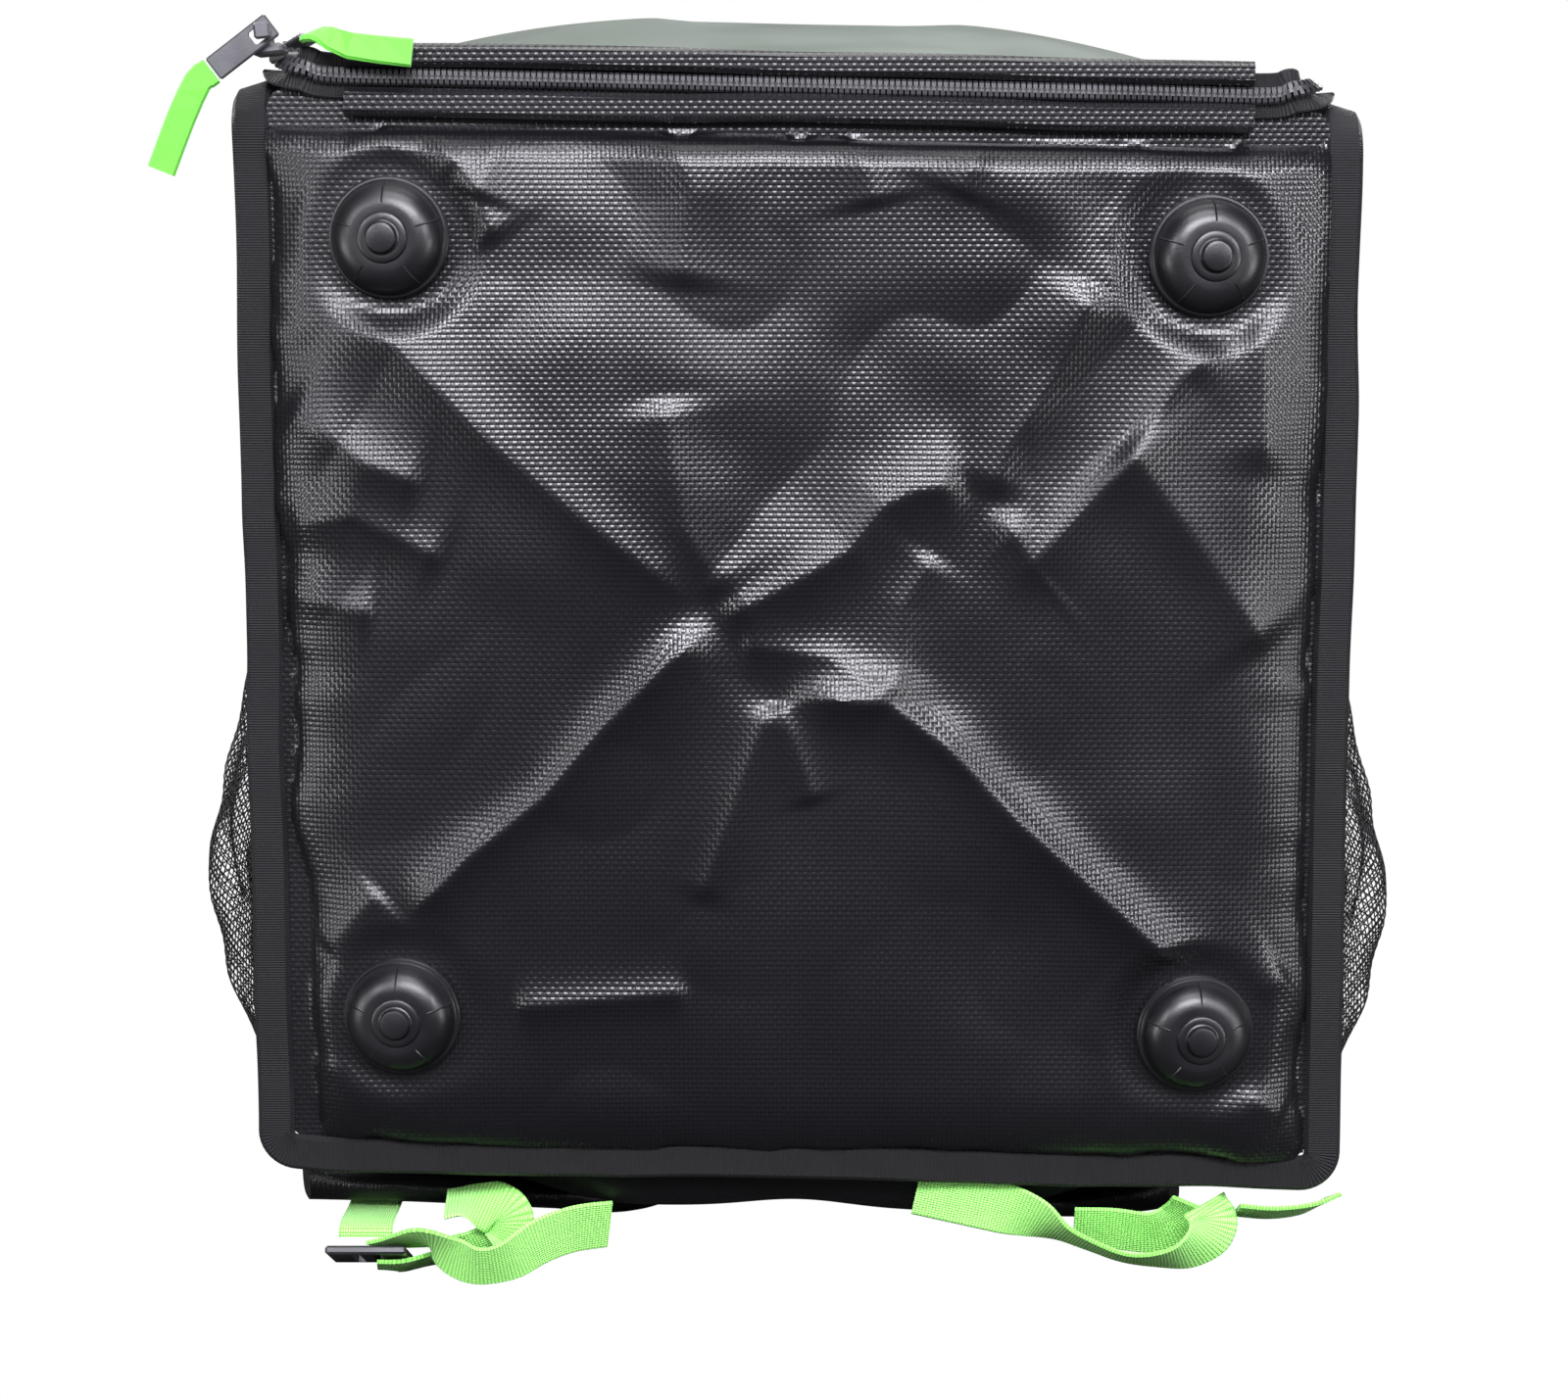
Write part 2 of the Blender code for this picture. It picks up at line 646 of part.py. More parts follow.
def box_mesh(name, size, bevel):
    bm = bmesh.new()
    bmesh.ops.create_cube(bm, size=1.0)
    bmesh.ops.scale(bm, vec=size, verts=bm.verts[:])
    bmesh.ops.bevel(bm, geom=bm.edges[:], offset=bevel, segments=1, affect="EDGES", clamp_overlap=True)
    return mesh_from(bm, name)


def boolean(obj, other, operation):
    step = obj.modifiers.new(operation.title(), "BOOLEAN")
    step.operation = operation
    step.solver = "EXACT"
    step.object = other


def helper(name, mesh, cutters, matrix):
    """A hidden mesh that is cut from, or joined to, a part."""
    obj = bpy.data.objects.new(name, mesh)
    cutters.objects.link(obj)
    obj.hide_render = True
    obj.display_type = "WIRE"
    obj.matrix_world = matrix
    return obj


def tube_mesh(name, points, radius):
    """A round bar along points, as a closed mesh."""
    curve = bpy.data.curves.new(name, "CURVE")
    curve.dimensions = "3D"
    curve.bevel_depth = radius
    curve.bevel_resolution = 1
    curve.use_fill_caps = True
    spline = curve.splines.new("POLY")
    spline.points.add(len(points) - 1)
    for point, place_at in zip(spline.points, points):
        point.co = (*place_at, 1.0)
    obj = bpy.data.objects.new(name, curve)
    bpy.context.scene.collection.objects.link(obj)
    bpy.context.view_layer.update()
    mesh = bpy.data.meshes.new_from_object(obj.evaluated_get(bpy.context.evaluated_depsgraph_get()))
    bpy.data.objects.remove(obj)
    bm = bmesh.new()
    bm.from_mesh(mesh)
    bmesh.ops.remove_doubles(bm, verts=bm.verts[:], dist=0.00001)
    bpy.data.meshes.remove(mesh)
    return mesh_from(bm, name)


def axes_matrix(origin, x_axis, y_axis):
    """A placement whose local x and y follow the given directions."""
    y = Vector(y_axis).normalized()
    x = Vector(x_axis)
    x = (x - y * x.dot(y)).normalized()
    z = x.cross(y)
    matrix = Matrix((x, y, z)).transposed().to_4x4()
    matrix.translation = origin
    return matrix


def slider_places():
    """Placement of the two sliders, each on the chain, with its travel along local y."""
    top = FRONT + 2 * GAP + ZIP_THICK + CHAIN_GAP + CHAIN_THICK
    x = HALF - ZIP_INSET
    first = place(-x - 0.0030, SEAM - 0.0010, top + 6 * GAP)
    second = place(-x + 0.0005, SEAM + 0.0205, top + 0.0004)
    return [
        ("left", axes_matrix(first, (1, 0, 0.10), (0, 1, 0))),
        ("right", axes_matrix(second, (1, 0.50, 0), (-0.50, 1, 0))),
    ]


def build_sliders(group, cutters, metal):
    (left_name, left), (right_name, right) = slider_places()
    foot, bar = SLIDER_SIZE[2] - 0.0012, SLIDER_SIZE[2] + BAIL_HEIGHT
    front = -SLIDER_SIZE[1] / 2
    bodies = []
    for name, matrix in slider_places():
        body = add_object("slider_" + name, box_mesh("slider", SLIDER_SIZE, 0.0010), group, metal, flat=True)
        body.matrix_world = matrix @ Matrix.Translation((0, 0, SLIDER_SIZE[2] / 2))
        bodies.append(body)

    nose = front - PULL_SIZE[2] - 0.0016
    hook = [
        (0, BAIL_HALF, foot),
        (0, BAIL_HALF, bar - 0.0012),
        (0, BAIL_HALF - 0.0012, bar),
        (0, nose - KNOB_LENGTH / 2, bar),
    ]
    size = (2 * KNOB_RADIUS, KNOB_LENGTH, 2 * KNOB_RADIUS)
    knob_at = left @ Matrix.Translation((0, nose - KNOB_LENGTH / 2, bar))
    knob = helper("knob_" + left_name, box_mesh("knob", size, 0.0008), cutters, knob_at)
    bar_piece = helper("hook_" + left_name, tube_mesh("hook", hook, BAIL_RADIUS), cutters, left)
    for joined in (knob, bar_piece):
        boolean(bodies[0], joined, "UNION")

    arch = [
        (0, -BAIL_HALF, foot),
        (0, -BAIL_HALF, bar - 0.0012),
        (0, -BAIL_HALF + 0.0012, bar),
        (0, BAIL_HALF - 0.0012, bar),
        (0, BAIL_HALF, bar - 0.0012),
        (0, BAIL_HALF, foot),
    ]
    bail = helper("bail_" + right_name, tube_mesh("bail", arch, BAIL_RADIUS), cutters, right)
    boolean(bodies[1], bail, "UNION")


def pull_frames():
    """Hinge placement of each pull: local -y points along it, local x across it.

    The left pull hangs on its slider's hook, and the right one lies flipped along its slider."""
    (_, left), (_, right) = slider_places()
    ahead = -SLIDER_SIZE[1] / 2 - PULL_SIZE[2] / 2 - 0.0008
    hang = left @ Matrix.Translation((0, ahead, SLIDER_SIZE[2] + BAIL_HEIGHT))
    hang_frame = axes_matrix(hang.translation, (0.60, 0, -0.80), (0.80, 0, 0.60))
    flip = right @ Matrix.Translation((0, 0, SLIDER_SIZE[2] + 0.0004 + EYE_BAR / 2))
    flip = flip @ Matrix.Rotation(-PULL_RISE, 4, "X")
    return hang_frame, flip


def build_pull(name, frame, back, group, cutters, metal):
    """A plate with an eye, its origin on the hinge. back is how far its end bar lies behind the hinge."""
    width, length, thick = PULL_SIZE
    start = back + EYE_BAR / 2
    mesh = box_mesh("pull", (width, length, thick), 0.0006)
    mesh.transform(Matrix.Translation((0, start - length / 2, 0)))
    plate = add_object(name, mesh, group, metal, flat=True)
    plate.matrix_world = frame
    eye = helper(
        name + "_eye",
        box_mesh("eye", (EYE_SIZE[0], EYE_SIZE[1], thick * 3), 0.0008),
        cutters,
        frame @ Matrix.Translation((0, back - EYE_BAR / 2 - EYE_SIZE[1] / 2, 0)),
    )
    boolean(plate, eye, "DIFFERENCE")
    return frame @ Vector((0, start - length, 0))


def build_tab(name, frame, group, web, end, first, rows):
    """A folded webbing tab from the end of a pull, bending through the rows of offset and width."""
    root = end + first * TAB_GAP
    points = [root, root + first * 0.002]
    widths = [rows[0][1], rows[0][1]]
    for offset, across in rows:
        points.append(root + offset)
        widths.append(across)
    count = 9
    centres = through(points, count)
    sides = [w.normalized() for w in through(widths, count)]
    tab = loft(name, group, web, band_rings(centres, sides, TAB_WIDTH, TAB_THICK, 0.15))
    tab.data.transform(frame.inverted())
    tab.matrix_world = frame


def build_pulls(group, cutters, metal, web):
    hang, flip = pull_frames()
    end = build_pull("pull_left", hang, BAIL_RADIUS + 0.0004 + EYE_BAR / 2, group, cutters, metal)
    down = (hang.to_3x3() @ Vector((0, -1, 0))).normalized()
    side = (hang.to_3x3() @ Vector((1, 0, 0))).normalized()
    lower = Vector((-0.376, 0, -0.927))
    rows = [
        (down * 0.006, side),
        (down * 0.008 + lower * 0.012, Vector((0.93, 0.10, -0.33))),
        (down * 0.008 + lower * 0.032, Vector((0.95, 0.05, -0.28))),
    ]
    build_tab("tab_left", hang, group, web, end, down, rows)

    end = build_pull("pull_right", flip, 0.0, group, cutters, metal)
    ahead = (flip.to_3x3() @ Vector((0, -1, 0))).normalized()
    rows = [
        (ahead * 0.004 + Vector((0.003, 0, -0.0005)), Vector((0.75, 0.55, 0.35))),
        (Vector((0.0145, -0.0080, -0.0040)), Vector((0.12, 0.35, 0.93))),
        (Vector((0.0360, -0.0085, -0.0065)), Vector((0.10, 0.10, 0.99))),
    ]
    build_tab("tab_right", flip, group, web, end, ahead, rows)


def pocket_point(u, v, outside):
    """A point of a pocket's sheet: u up the bag's side from the back, v from the underside's seam."""
    z = RIDE_HEIGHT + POCKET_LOW + (POCKET_HIGH - POCKET_LOW) * u
    y = SEAM + WALL + 0.004 + POCKET_LENGTH * v
    sag = math.sin(math.pi * u ** 0.80) ** 0.55 if 0 < u < 1 else 0.0
    belly = 0.55 + 0.45 * math.exp(-(((u - 0.34) / 0.26) ** 2))
    rise = smooth(0.0, 0.16, v) * (1 - 0.42 * smooth(0.55, 1.0, v))
    stand = POCKET_DROOP * sag * belly * rise
    side = HALF + SIDE_PUFF + GAP + stand + (POCKET_THICK if outside else 0.0)
    return side, y, z


def build_pockets(group, mesh_cloth, elastic):
    for name, sign in (("left", -1), ("right", 1)):

        def shape(u, v, outer, sign=sign):
            x, y, z = pocket_point((u + 1) / 2, (v + 1) / 2, outer)
            return place(sign * x, y, z)

        panel("mesh_pocket_" + name, group, mesh_cloth, 14, 8, shape, flat_inside=False)
        path = []
        for k in range(13):
            x, y, z = pocket_point(0.02 + 0.96 * k / 12, 1.0, False)
            path.append(place(sign * (x + POCKET_THICK / 2), y + GAP + HEM_WIDTH / 2, z))
        widths = [Vector((0, 1, 0))] * len(path)
        loft("pocket_hem_" + name, group, elastic, band_rings(path, widths, HEM_WIDTH, HEM_THICK))


def under_bag(across, behind, up):
    """A point under the bag, from its shares in the tables."""
    x = across * HALF
    return Vector((x, SEAM + behind * RIDE_HEIGHT, up * (RIDE_HEIGHT - SLUMP * x)))


def pad_rings(rows, count):
    """Oval rings along a shoulder pad's route."""
    centres, shares = [], []
    for across, along, lift, share in through(rows, count):
        x, y = across * HALF, SEAM + along * HEIGHT
        room = RIDE_HEIGHT - SLUMP * x - back_depth(x, y) - 2 * GAP - PAD_THICK
        centres.append(Vector((x, y, PAD_THICK / 2 + max(0.0, min(1.0, lift)) * room)))
        shares.append(share)
    rings = []
    for i, (centre, share) in enumerate(zip(centres, shares)):
        along = centres[min(i + 1, count - 1)] - centres[max(i - 1, 0)]
        along.normalize()
        side = along.cross(Vector((0, 0, 1))).normalized()
        up = side.cross(along)
        half = PAD_WIDTH * share / 2
        edge = min(half, PAD_THICK)
        ring = []
        for across, height in PAD_SECTION:
            offset = math.copysign(half - edge * (1 - abs(across)), across)
            ring.append(centre + side * offset + up * height * PAD_THICK / 2)
        rings.append(ring)
    return rings


def build_pads(group, fabric):
    for name, rows in (("strap_pad_left", PAD_LEFT), ("strap_pad_right", PAD_RIGHT)):
        loft(name, group, fabric, pad_rings(rows, 24))


def build_webbing(group, web):
    for name, rows in (
        ("strap_webbing_left", WEB_LEFT),
        ("webbing_tail_left", TAIL_LEFT),
        ("webbing_loop_left", LOOP_LEFT),
        ("strap_webbing_right", WEB_RIGHT),
        ("webbing_inner_right", INNER_RIGHT),
        ("webbing_tail_right", TAIL_RIGHT),
    ):
        points = [under_bag(*row[:3]) for row in rows]
        count = 4 * len(rows) - 3
        centres = through(points, count)
        widths = [w.normalized() for w in through([row[3] for row in rows], count)]
        loft(name, group, web, band_rings(centres, widths, WEB_WIDTH, WEB_THICK, 0.3))


def build_buckle(group, cutters, plastic):
    """The left ladder lock, lying between the two runs of its webbing."""
    origin = under_bag(*BUCKLE_AT)
    matrix = axes_matrix(origin, (1, 0, 0), (0, 0.90, -0.42))
    plate = add_object("strap_buckle_left", box_mesh("buckle", BUCKLE_SIZE, 0.0008), group, plastic, flat=True)
    plate.matrix_world = matrix
    gap = BUCKLE_BAR / 2 + BUCKLE_SLOT[1] / 2
    for side in (-1, 1):
        slot = helper(
            "buckle_slot",
            box_mesh("slot", (BUCKLE_SLOT[1], BUCKLE_SLOT[0], BUCKLE_SIZE[2] * 2), 0.0004),
            cutters,
            matrix @ Matrix.Translation((side * gap, 0, 0)),
        )
        boolean(plate, slot, "DIFFERENCE")


def main():
    clear_scene()
    group = bpy.data.collections.new("delivery_backpack")
    cutters = bpy.data.collections.new("cutters")
    for collection in (group, cutters):
        bpy.context.scene.collection.children.link(collection)

    vinyl = material("coated_fabric", (0.020, 0.020, 0.024), 0.35)
    door = material("smooth_vinyl", (0.060, 0.070, 0.062), 0.30)
    tape = material("binding_tape", (0.012, 0.012, 0.014), 0.75)
    pad = material("padded_fabric", (0.012, 0.012, 0.013), 0.85)
    rubber = material("rubber", (0.012, 0.012, 0.013), 0.45)
    metal = material("dark_metal", (0.055, 0.057, 0.065), 0.40, 0.6)
    web = material("green_webbing", (0.210, 0.720, 0.090), 0.60)
    cloth = material("mesh_cloth", (0.012, 0.012, 0.013), 0.80)
    plastic = material("plastic", (0.014, 0.014, 0.016), 0.40)

    build_underside(group, vinyl)
    build_sides(group, vinyl)
    build_top(group, vinyl)
    build_back(group, pad)
    build_door(group, door)
    build_bottom_binding(group, tape)
    build_top_binding(group, tape)
    build_back_bindings(group, tape)
    build_feet(group, rubber)
    build_zip(group, tape, plastic, vinyl)
    build_sliders(group, cutters, metal)
    build_pulls(group, cutters, metal, web)
    build_pockets(group, cloth, tape)
    build_pads(group, pad)
    build_webbing(group, web)
    build_buckle(group, cutters, plastic)


main()
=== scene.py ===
"""Dressed scene of an insulated delivery backpack that lies on its back, its underside to the viewer."""

import math

import bmesh
import bpy
import numpy as np
from mathutils import Matrix, Vector


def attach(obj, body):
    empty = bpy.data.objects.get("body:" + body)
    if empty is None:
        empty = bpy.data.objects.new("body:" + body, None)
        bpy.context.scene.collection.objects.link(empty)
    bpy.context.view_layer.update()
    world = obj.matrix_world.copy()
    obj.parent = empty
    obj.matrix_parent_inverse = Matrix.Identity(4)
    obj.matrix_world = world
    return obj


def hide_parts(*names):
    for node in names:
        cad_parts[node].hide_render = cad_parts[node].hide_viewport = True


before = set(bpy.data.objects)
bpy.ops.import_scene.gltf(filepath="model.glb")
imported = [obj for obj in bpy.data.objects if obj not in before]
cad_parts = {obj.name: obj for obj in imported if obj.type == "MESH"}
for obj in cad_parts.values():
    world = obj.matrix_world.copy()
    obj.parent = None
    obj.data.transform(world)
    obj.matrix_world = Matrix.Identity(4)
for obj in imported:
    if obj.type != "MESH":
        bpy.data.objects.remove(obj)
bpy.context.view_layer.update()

# The bag's own box, in metres, as in the solids.
WIDTH, HEIGHT, DEPTH = 0.376, 0.450, 0.386
WALL, GAP = 0.008, 0.0003
RIDE_HEIGHT = 0.054
SLUMP = 0.022
HALF = WIDTH / 2
FRONT = RIDE_HEIGHT + DEPTH
SEAM = -0.214
TOP = SEAM + HEIGHT
MID_DEPTH = RIDE_HEIGHT + DEPTH / 2
PUFF, PEAK = 0.012, 0.006
FLANGE, TAPE_THICK, TAPE_DROOP, CORNER = 0.012, 0.004, 0.35, 0.016
FOOT_RADIUS = 0.0215
FOOT_INSET_X, FOOT_INSET_FRONT, FOOT_INSET_BACK = 0.044, 0.056, 0.050
ZIP_WIDTH, ZIP_THICK, ZIP_INSET, ZIP_ABOVE = 0.016, 0.0012, 0.005, 0.0002
CHAIN_WIDTH, CHAIN_THICK, CHAIN_GAP = 0.006, 0.002, 0.0010
WELT_WIDTH, WELT_THICK, WELT_REACH = 0.010, 0.0042, 0.160
POCKET_THICK, POCKET_DROOP, POCKET_LENGTH = 0.0016, 0.030, 0.225
POCKET_LOW, POCKET_HIGH = 0.008, 0.215
HEM_WIDTH, HEM_THICK = 0.012, 0.0032
PAD_WIDTH, PAD_THICK = 0.062, 0.014
WEB_WIDTH, WEB_THICK = 0.020, 0.0016
SIDE_PUFF, TOP_PUFF, BACK_PUFF = 0.004, 0.006, 0.029
DOOR_PUFF, DOOR_LIFT = 0.028, 0.004

# Half a weave repeat of the coated fabric, and of the padded one.
THREAD_ACROSS, THREAD_UP = 0.00155, 0.00185
FINE_THREAD = 0.0007

# How far the tapes reach over the panels' edges here, and how flat they are next to the solids.
TAPE_LAP, TOP_TAPE_LAP, TAPE_FLATTEN = 0.0014, 0.0016, 0.85

# The pockets' net: size of a cell, and breadth and depth of a strand.
NET_CELL, NET_WIDE, NET_DEEP = 0.0032, 0.00062, 0.00045

# How far each foot tips outward, in degrees.
FOOT_TIP = 5

# The viewer's place, tilt from straight down in degrees, and lens and sensor width in millimetres.
CAMERA_AT, CAMERA_TILT = (-0.0053, -1.3528, 0.3818), 82
SENSOR, FOCAL = 36, 36 * 3239 / 1600

# Black of the coated fabric, and the painted highlight on the tops of its threads.
COATED_DARK, COATED_THREAD_HIGHLIGHT = (0.0024, 0.0023, 0.0034), (0.0052, 0.0050, 0.0066)

# Route of each shoulder pad: share of HALF across, share of HEIGHT behind the underside's seam, how high
# it lies in the room under the bag, and share of PAD_WIDTH.
PAD_LEFT = [
    (-0.31, 0.935, 1.00, 1.00),
    (-0.31, 0.820, 0.90, 1.00),
    (-0.33, 0.680, 0.08, 1.00),
    (-0.35, 0.500, 0.00, 1.00),
    (-0.37, 0.330, 0.00, 1.00),
    (-0.42, 0.215, 0.30, 1.00),
    (-0.56, 0.155, 0.62, 1.00),
    (-0.74, 0.118, 0.62, 0.96),
    (-0.90, 0.098, 0.57, 0.72),
    (-1.00, 0.085, 0.55, 0.30),
]
PAD_RIGHT = [
    (0.31, 0.935, 1.00, 1.00),
    (0.31, 0.820, 0.90, 1.00),
    (0.32, 0.680, 0.08, 1.00),
    (0.34, 0.500, 0.00, 1.00),
    (0.36, 0.330, 0.00, 1.00),
    (0.40, 0.235, 0.28, 1.00),
    (0.48, 0.180, 0.60, 1.00),
    (0.60, 0.132, 0.66, 0.92),
    (0.70, 0.110, 0.64, 0.66),
    (0.77, 0.100, 0.62, 0.30),
]

collection = bpy.context.scene.collection


def place(points):
    """The lean of the soft bag, for an array of points of its own box."""
    moved = np.array(points, dtype=float)
    moved[..., 2] -= SLUMP * moved[..., 0]
    return moved


def smooth(edge0, edge1, value):
    share = np.clip((value - edge0) / (edge1 - edge0), 0.0, 1.0)
    return share * share * (3 - 2 * share)


def noise(x, y, size, seed):
    """Smooth value noise from -1 to 1 over a plane, from a seeded lattice."""
    lattice = np.random.default_rng(seed).uniform(-1, 1, (64, 64))
    gx, gy = np.asarray(x) / size + 1000, np.asarray(y) / size + 1000
    ix, iy = np.floor(gx).astype(int), np.floor(gy).astype(int)
    fx, fy = gx - ix, gy - iy
    fx, fy = fx * fx * (3 - 2 * fx), fy * fy * (3 - 2 * fy)
    a = lattice[ix % 64, iy % 64]
    b = lattice[(ix + 1) % 64, iy % 64]
    c = lattice[ix % 64, (iy + 1) % 64]
    d = lattice[(ix + 1) % 64, (iy + 1) % 64]
    return (a * (1 - fx) + b * fx) * (1 - fy) + (c * (1 - fx) + d * fx) * fy


def crease(u, v, folds):
    """Height of a set of folds at shares u, v. Each fold has a path, a height, and a breadth each side."""
    total = np.zeros_like(u)
    for path, height, left, right in folds:
        best = np.full_like(u, 1e9)
        side = np.zeros_like(u)
        ends = np.zeros_like(u)
        lengths = [math.dist(a, b) for a, b in zip(path, path[1:])]
        whole = sum(lengths)
        done = 0.0
        for (x0, z0), (x1, z1), length in zip(path, path[1:], lengths):
            dx, dz = (x1 - x0) / length, (z1 - z0) / length
            along = np.clip((u - x0) * dx + (v - z0) * dz, 0.0, length)
            px, pz = u - (x0 + along * dx), v - (z0 + along * dz)
            away = np.hypot(px, pz)
            nearer = away < best
            best = np.where(nearer, away, best)
            side = np.where(nearer, dx * pz - dz * px, side)
            ends = np.where(nearer, (done + along) / whole, ends)
            done += length
        breadth = np.where(side > 0, left, right)
        taper = smooth(0.0, 0.12, ends) * smooth(1.0, 0.88, ends)
        total += height * taper * np.exp(-((best / breadth) ** 1.25))
    return total


def add_mesh(name, verts, faces, finish, body="bag", uv=None, smooth_angle=40):
    mesh = bpy.data.meshes.new(name)
    mesh.from_pydata([tuple(v) for v in verts], [], [tuple(int(i) for i in f) for f in faces])
    mesh.validate()
    if uv is not None:
        layer = mesh.uv_layers.new(name="run")
        loops = np.zeros(len(mesh.loops), dtype=np.int32)
        mesh.loops.foreach_get("vertex_index", loops)
        layer.data.foreach_set("uv", np.asarray(uv, dtype=np.float32)[loops].ravel())
    bm = bmesh.new()
    bm.from_mesh(mesh)
    bmesh.ops.recalc_face_normals(bm, faces=bm.faces[:])
    bm.to_mesh(mesh)
    bm.free()
    mesh.materials.append(finish)
    mesh.shade_smooth()
    if smooth_angle:
        mesh.set_sharp_from_angle(angle=math.radians(smooth_angle))
    obj = bpy.data.objects.new(name, mesh)
    collection.objects.link(obj)
    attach(obj, body)
    return obj


def slab(name, columns, rows, outer, inner, finish):
    """A padded wall: a fine outer sheet, a plain inner face, and the rim between them."""
    u, v = np.meshgrid(np.linspace(-1, 1, columns + 1), np.linspace(-1, 1, rows + 1), indexing="ij")
    top = outer(u, v).reshape(-1, 3)
    index = np.arange((columns + 1) * (rows + 1)).reshape(columns + 1, rows + 1)
    corners = (index[:-1, :-1], index[1:, :-1], index[1:, 1:], index[:-1, 1:])
    quads = np.stack(corners, axis=-1).reshape(-1, 4)
    rim = np.concatenate((index[:-1, 0], index[-1, :-1], index[:0:-1, -1], index[0, :0:-1]))
    under = inner(u, v).reshape(-1, 3)[rim]
    base = len(top)
    count = len(rim)
    low = base + np.arange(count)
    walls = [(rim[i], rim[(i + 1) % count], low[(i + 1) % count], low[i]) for i in range(count)]
    verts = np.concatenate((place(top), place(under)))
    faces = [tuple(q) for q in quads] + walls + [tuple(low[::-1])]
    return add_mesh(name, verts, faces, finish)


def rounded(u, v, half_x, half_y, radius):
    """Carries a square grid to a rectangle with rounded corners."""
    x, y = u * half_x, v * half_y
    a = (np.abs(x) - (half_x - radius)) / radius
    b = (np.abs(y) - (half_y - radius)) / radius
    corner = (a > 0) & (b > 0)
    ac, bc = np.clip(a, 0, 1), np.clip(b, 0, 1)
    xc = np.sign(x) * (half_x - radius + ac * np.sqrt(1 - bc * bc / 2) * radius)
    yc = np.sign(y) * (half_y - radius + bc * np.sqrt(1 - ac * ac / 2) * radius)
    return np.where(corner, xc, x), np.where(corner, yc, y)


def through(points, count):
    """count points spread over a smooth curve through the given rows of numbers."""
    rows = np.array(points, dtype=float)
    rows = np.concatenate(([2 * rows[0] - rows[1]], rows, [2 * rows[-1] - rows[-2]]))
    spans = len(rows) - 3
    at = np.linspace(0, spans, count)
    k = np.minimum(at.astype(int), spans - 1)
    t = (at - k)[:, None]
    a, b, c, d = rows[k], rows[k + 1], rows[k + 2], rows[k + 3]
    return 0.5 * (2 * b + (c - a) * t + (2 * a - 5 * b + 4 * c - d) * t**2 + (3 * b - a - 3 * c + d) * t**3)


def unit(rows):
    return rows / np.maximum(np.linalg.norm(rows, axis=-1, keepdims=True), 1e-12)


def band(
    name, centres, across, width, thick, finish, body="bag", closed=False, sides=10, ripple=0.0, seed=1
):
    """A flat band with rounded edges, along centres, with across as the direction of its width.

    Its uv holds the distance across and along it, in metres."""
    centres, across = np.asarray(centres, dtype=float), unit(np.asarray(across, dtype=float))
    count = len(centres)
    if closed:
        along = np.roll(centres, -1, axis=0) - np.roll(centres, 1, axis=0)
    else:
        along = np.gradient(centres, axis=0)
    along = unit(along)
    side = unit(across - along * np.sum(across * along, axis=1, keepdims=True))
    up = np.cross(along, side)
    distance = np.concatenate(([0.0], np.cumsum(np.linalg.norm(np.diff(centres, axis=0), axis=1))))
    width = np.broadcast_to(np.asarray(width, dtype=float), (count,)).copy()
    edge = min(thick / 2, width.min() / 2)
    profile = [(1.0, 0.0)]
    for k in range(sides + 1):
        profile.append((1 - 2 * k / sides, 1.0))
    profile.append((-1.0, 0.0))
    for k in range(sides + 1):
        profile.append((-1 + 2 * k / sides, -1.0))
    verts, uvs = [], []
    wave = ripple * noise(distance, np.zeros(count), 0.018, seed)
    sway = ripple * 1.6 * noise(distance, np.full(count, 3.0), 0.045, seed + 1)
    centres = centres + side * sway[:, None]
    for s, h in profile:
        reach = (width / 2 - (edge * 0.9 if h else 0.0))[:, None]
        lift = h * thick / 2 + wave[:, None]
        verts.append(centres + side * reach * s + up * lift)
        uvs.append(np.stack((width / 2 * s + 0.5, distance), axis=1))
    ring = len(profile)
    verts = np.stack(verts, axis=1).reshape(-1, 3)
    uvs = np.stack(uvs, axis=1).reshape(-1, 2)
    faces = []
    for i in range(count if closed else count - 1):
        j = (i + 1) % count
        for k in range(ring):
            m = (k + 1) % ring
            faces.append((i * ring + k, i * ring + m, j * ring + m, j * ring + k))
    if not closed:
        faces.append(tuple(range(ring)))
        faces.append(tuple((count - 1) * ring + k for k in reversed(range(ring))))
    return add_mesh(name, verts, faces, finish, body=body, uv=uvs)


# Materials.


def shader(name, colour, roughness, metallic=0.0, specular=0.5):
    made = bpy.data.materials.new(name)
    made.use_nodes = True
    nodes, links = made.node_tree.nodes, made.node_tree.links
    surface = nodes["Principled BSDF"]
    surface.inputs["Base Color"].default_value = (*colour, 1.0)
    surface.inputs["Roughness"].default_value = roughness
    surface.inputs["Metallic"].default_value = metallic
    surface.inputs["Specular IOR Level"].default_value = specular
    return made, nodes, links, surface


def math_node(nodes, links, operation, a, b=None, c=None):
    node = nodes.new("ShaderNodeMath")
    node.operation = operation
    for socket, value in zip(node.inputs, (a, b, c)):
        if value is None:
            continue
        if isinstance(value, (int, float)):
            socket.default_value = value
        else:
            links.new(value, socket)
    return node.outputs[0]


def coordinates(nodes, links, source):
    node = nodes.new("ShaderNodeTexCoord")
    split = nodes.new("ShaderNodeSeparateXYZ")
    links.new(node.outputs[source], split.inputs[0])
    return node.outputs[source], split.outputs


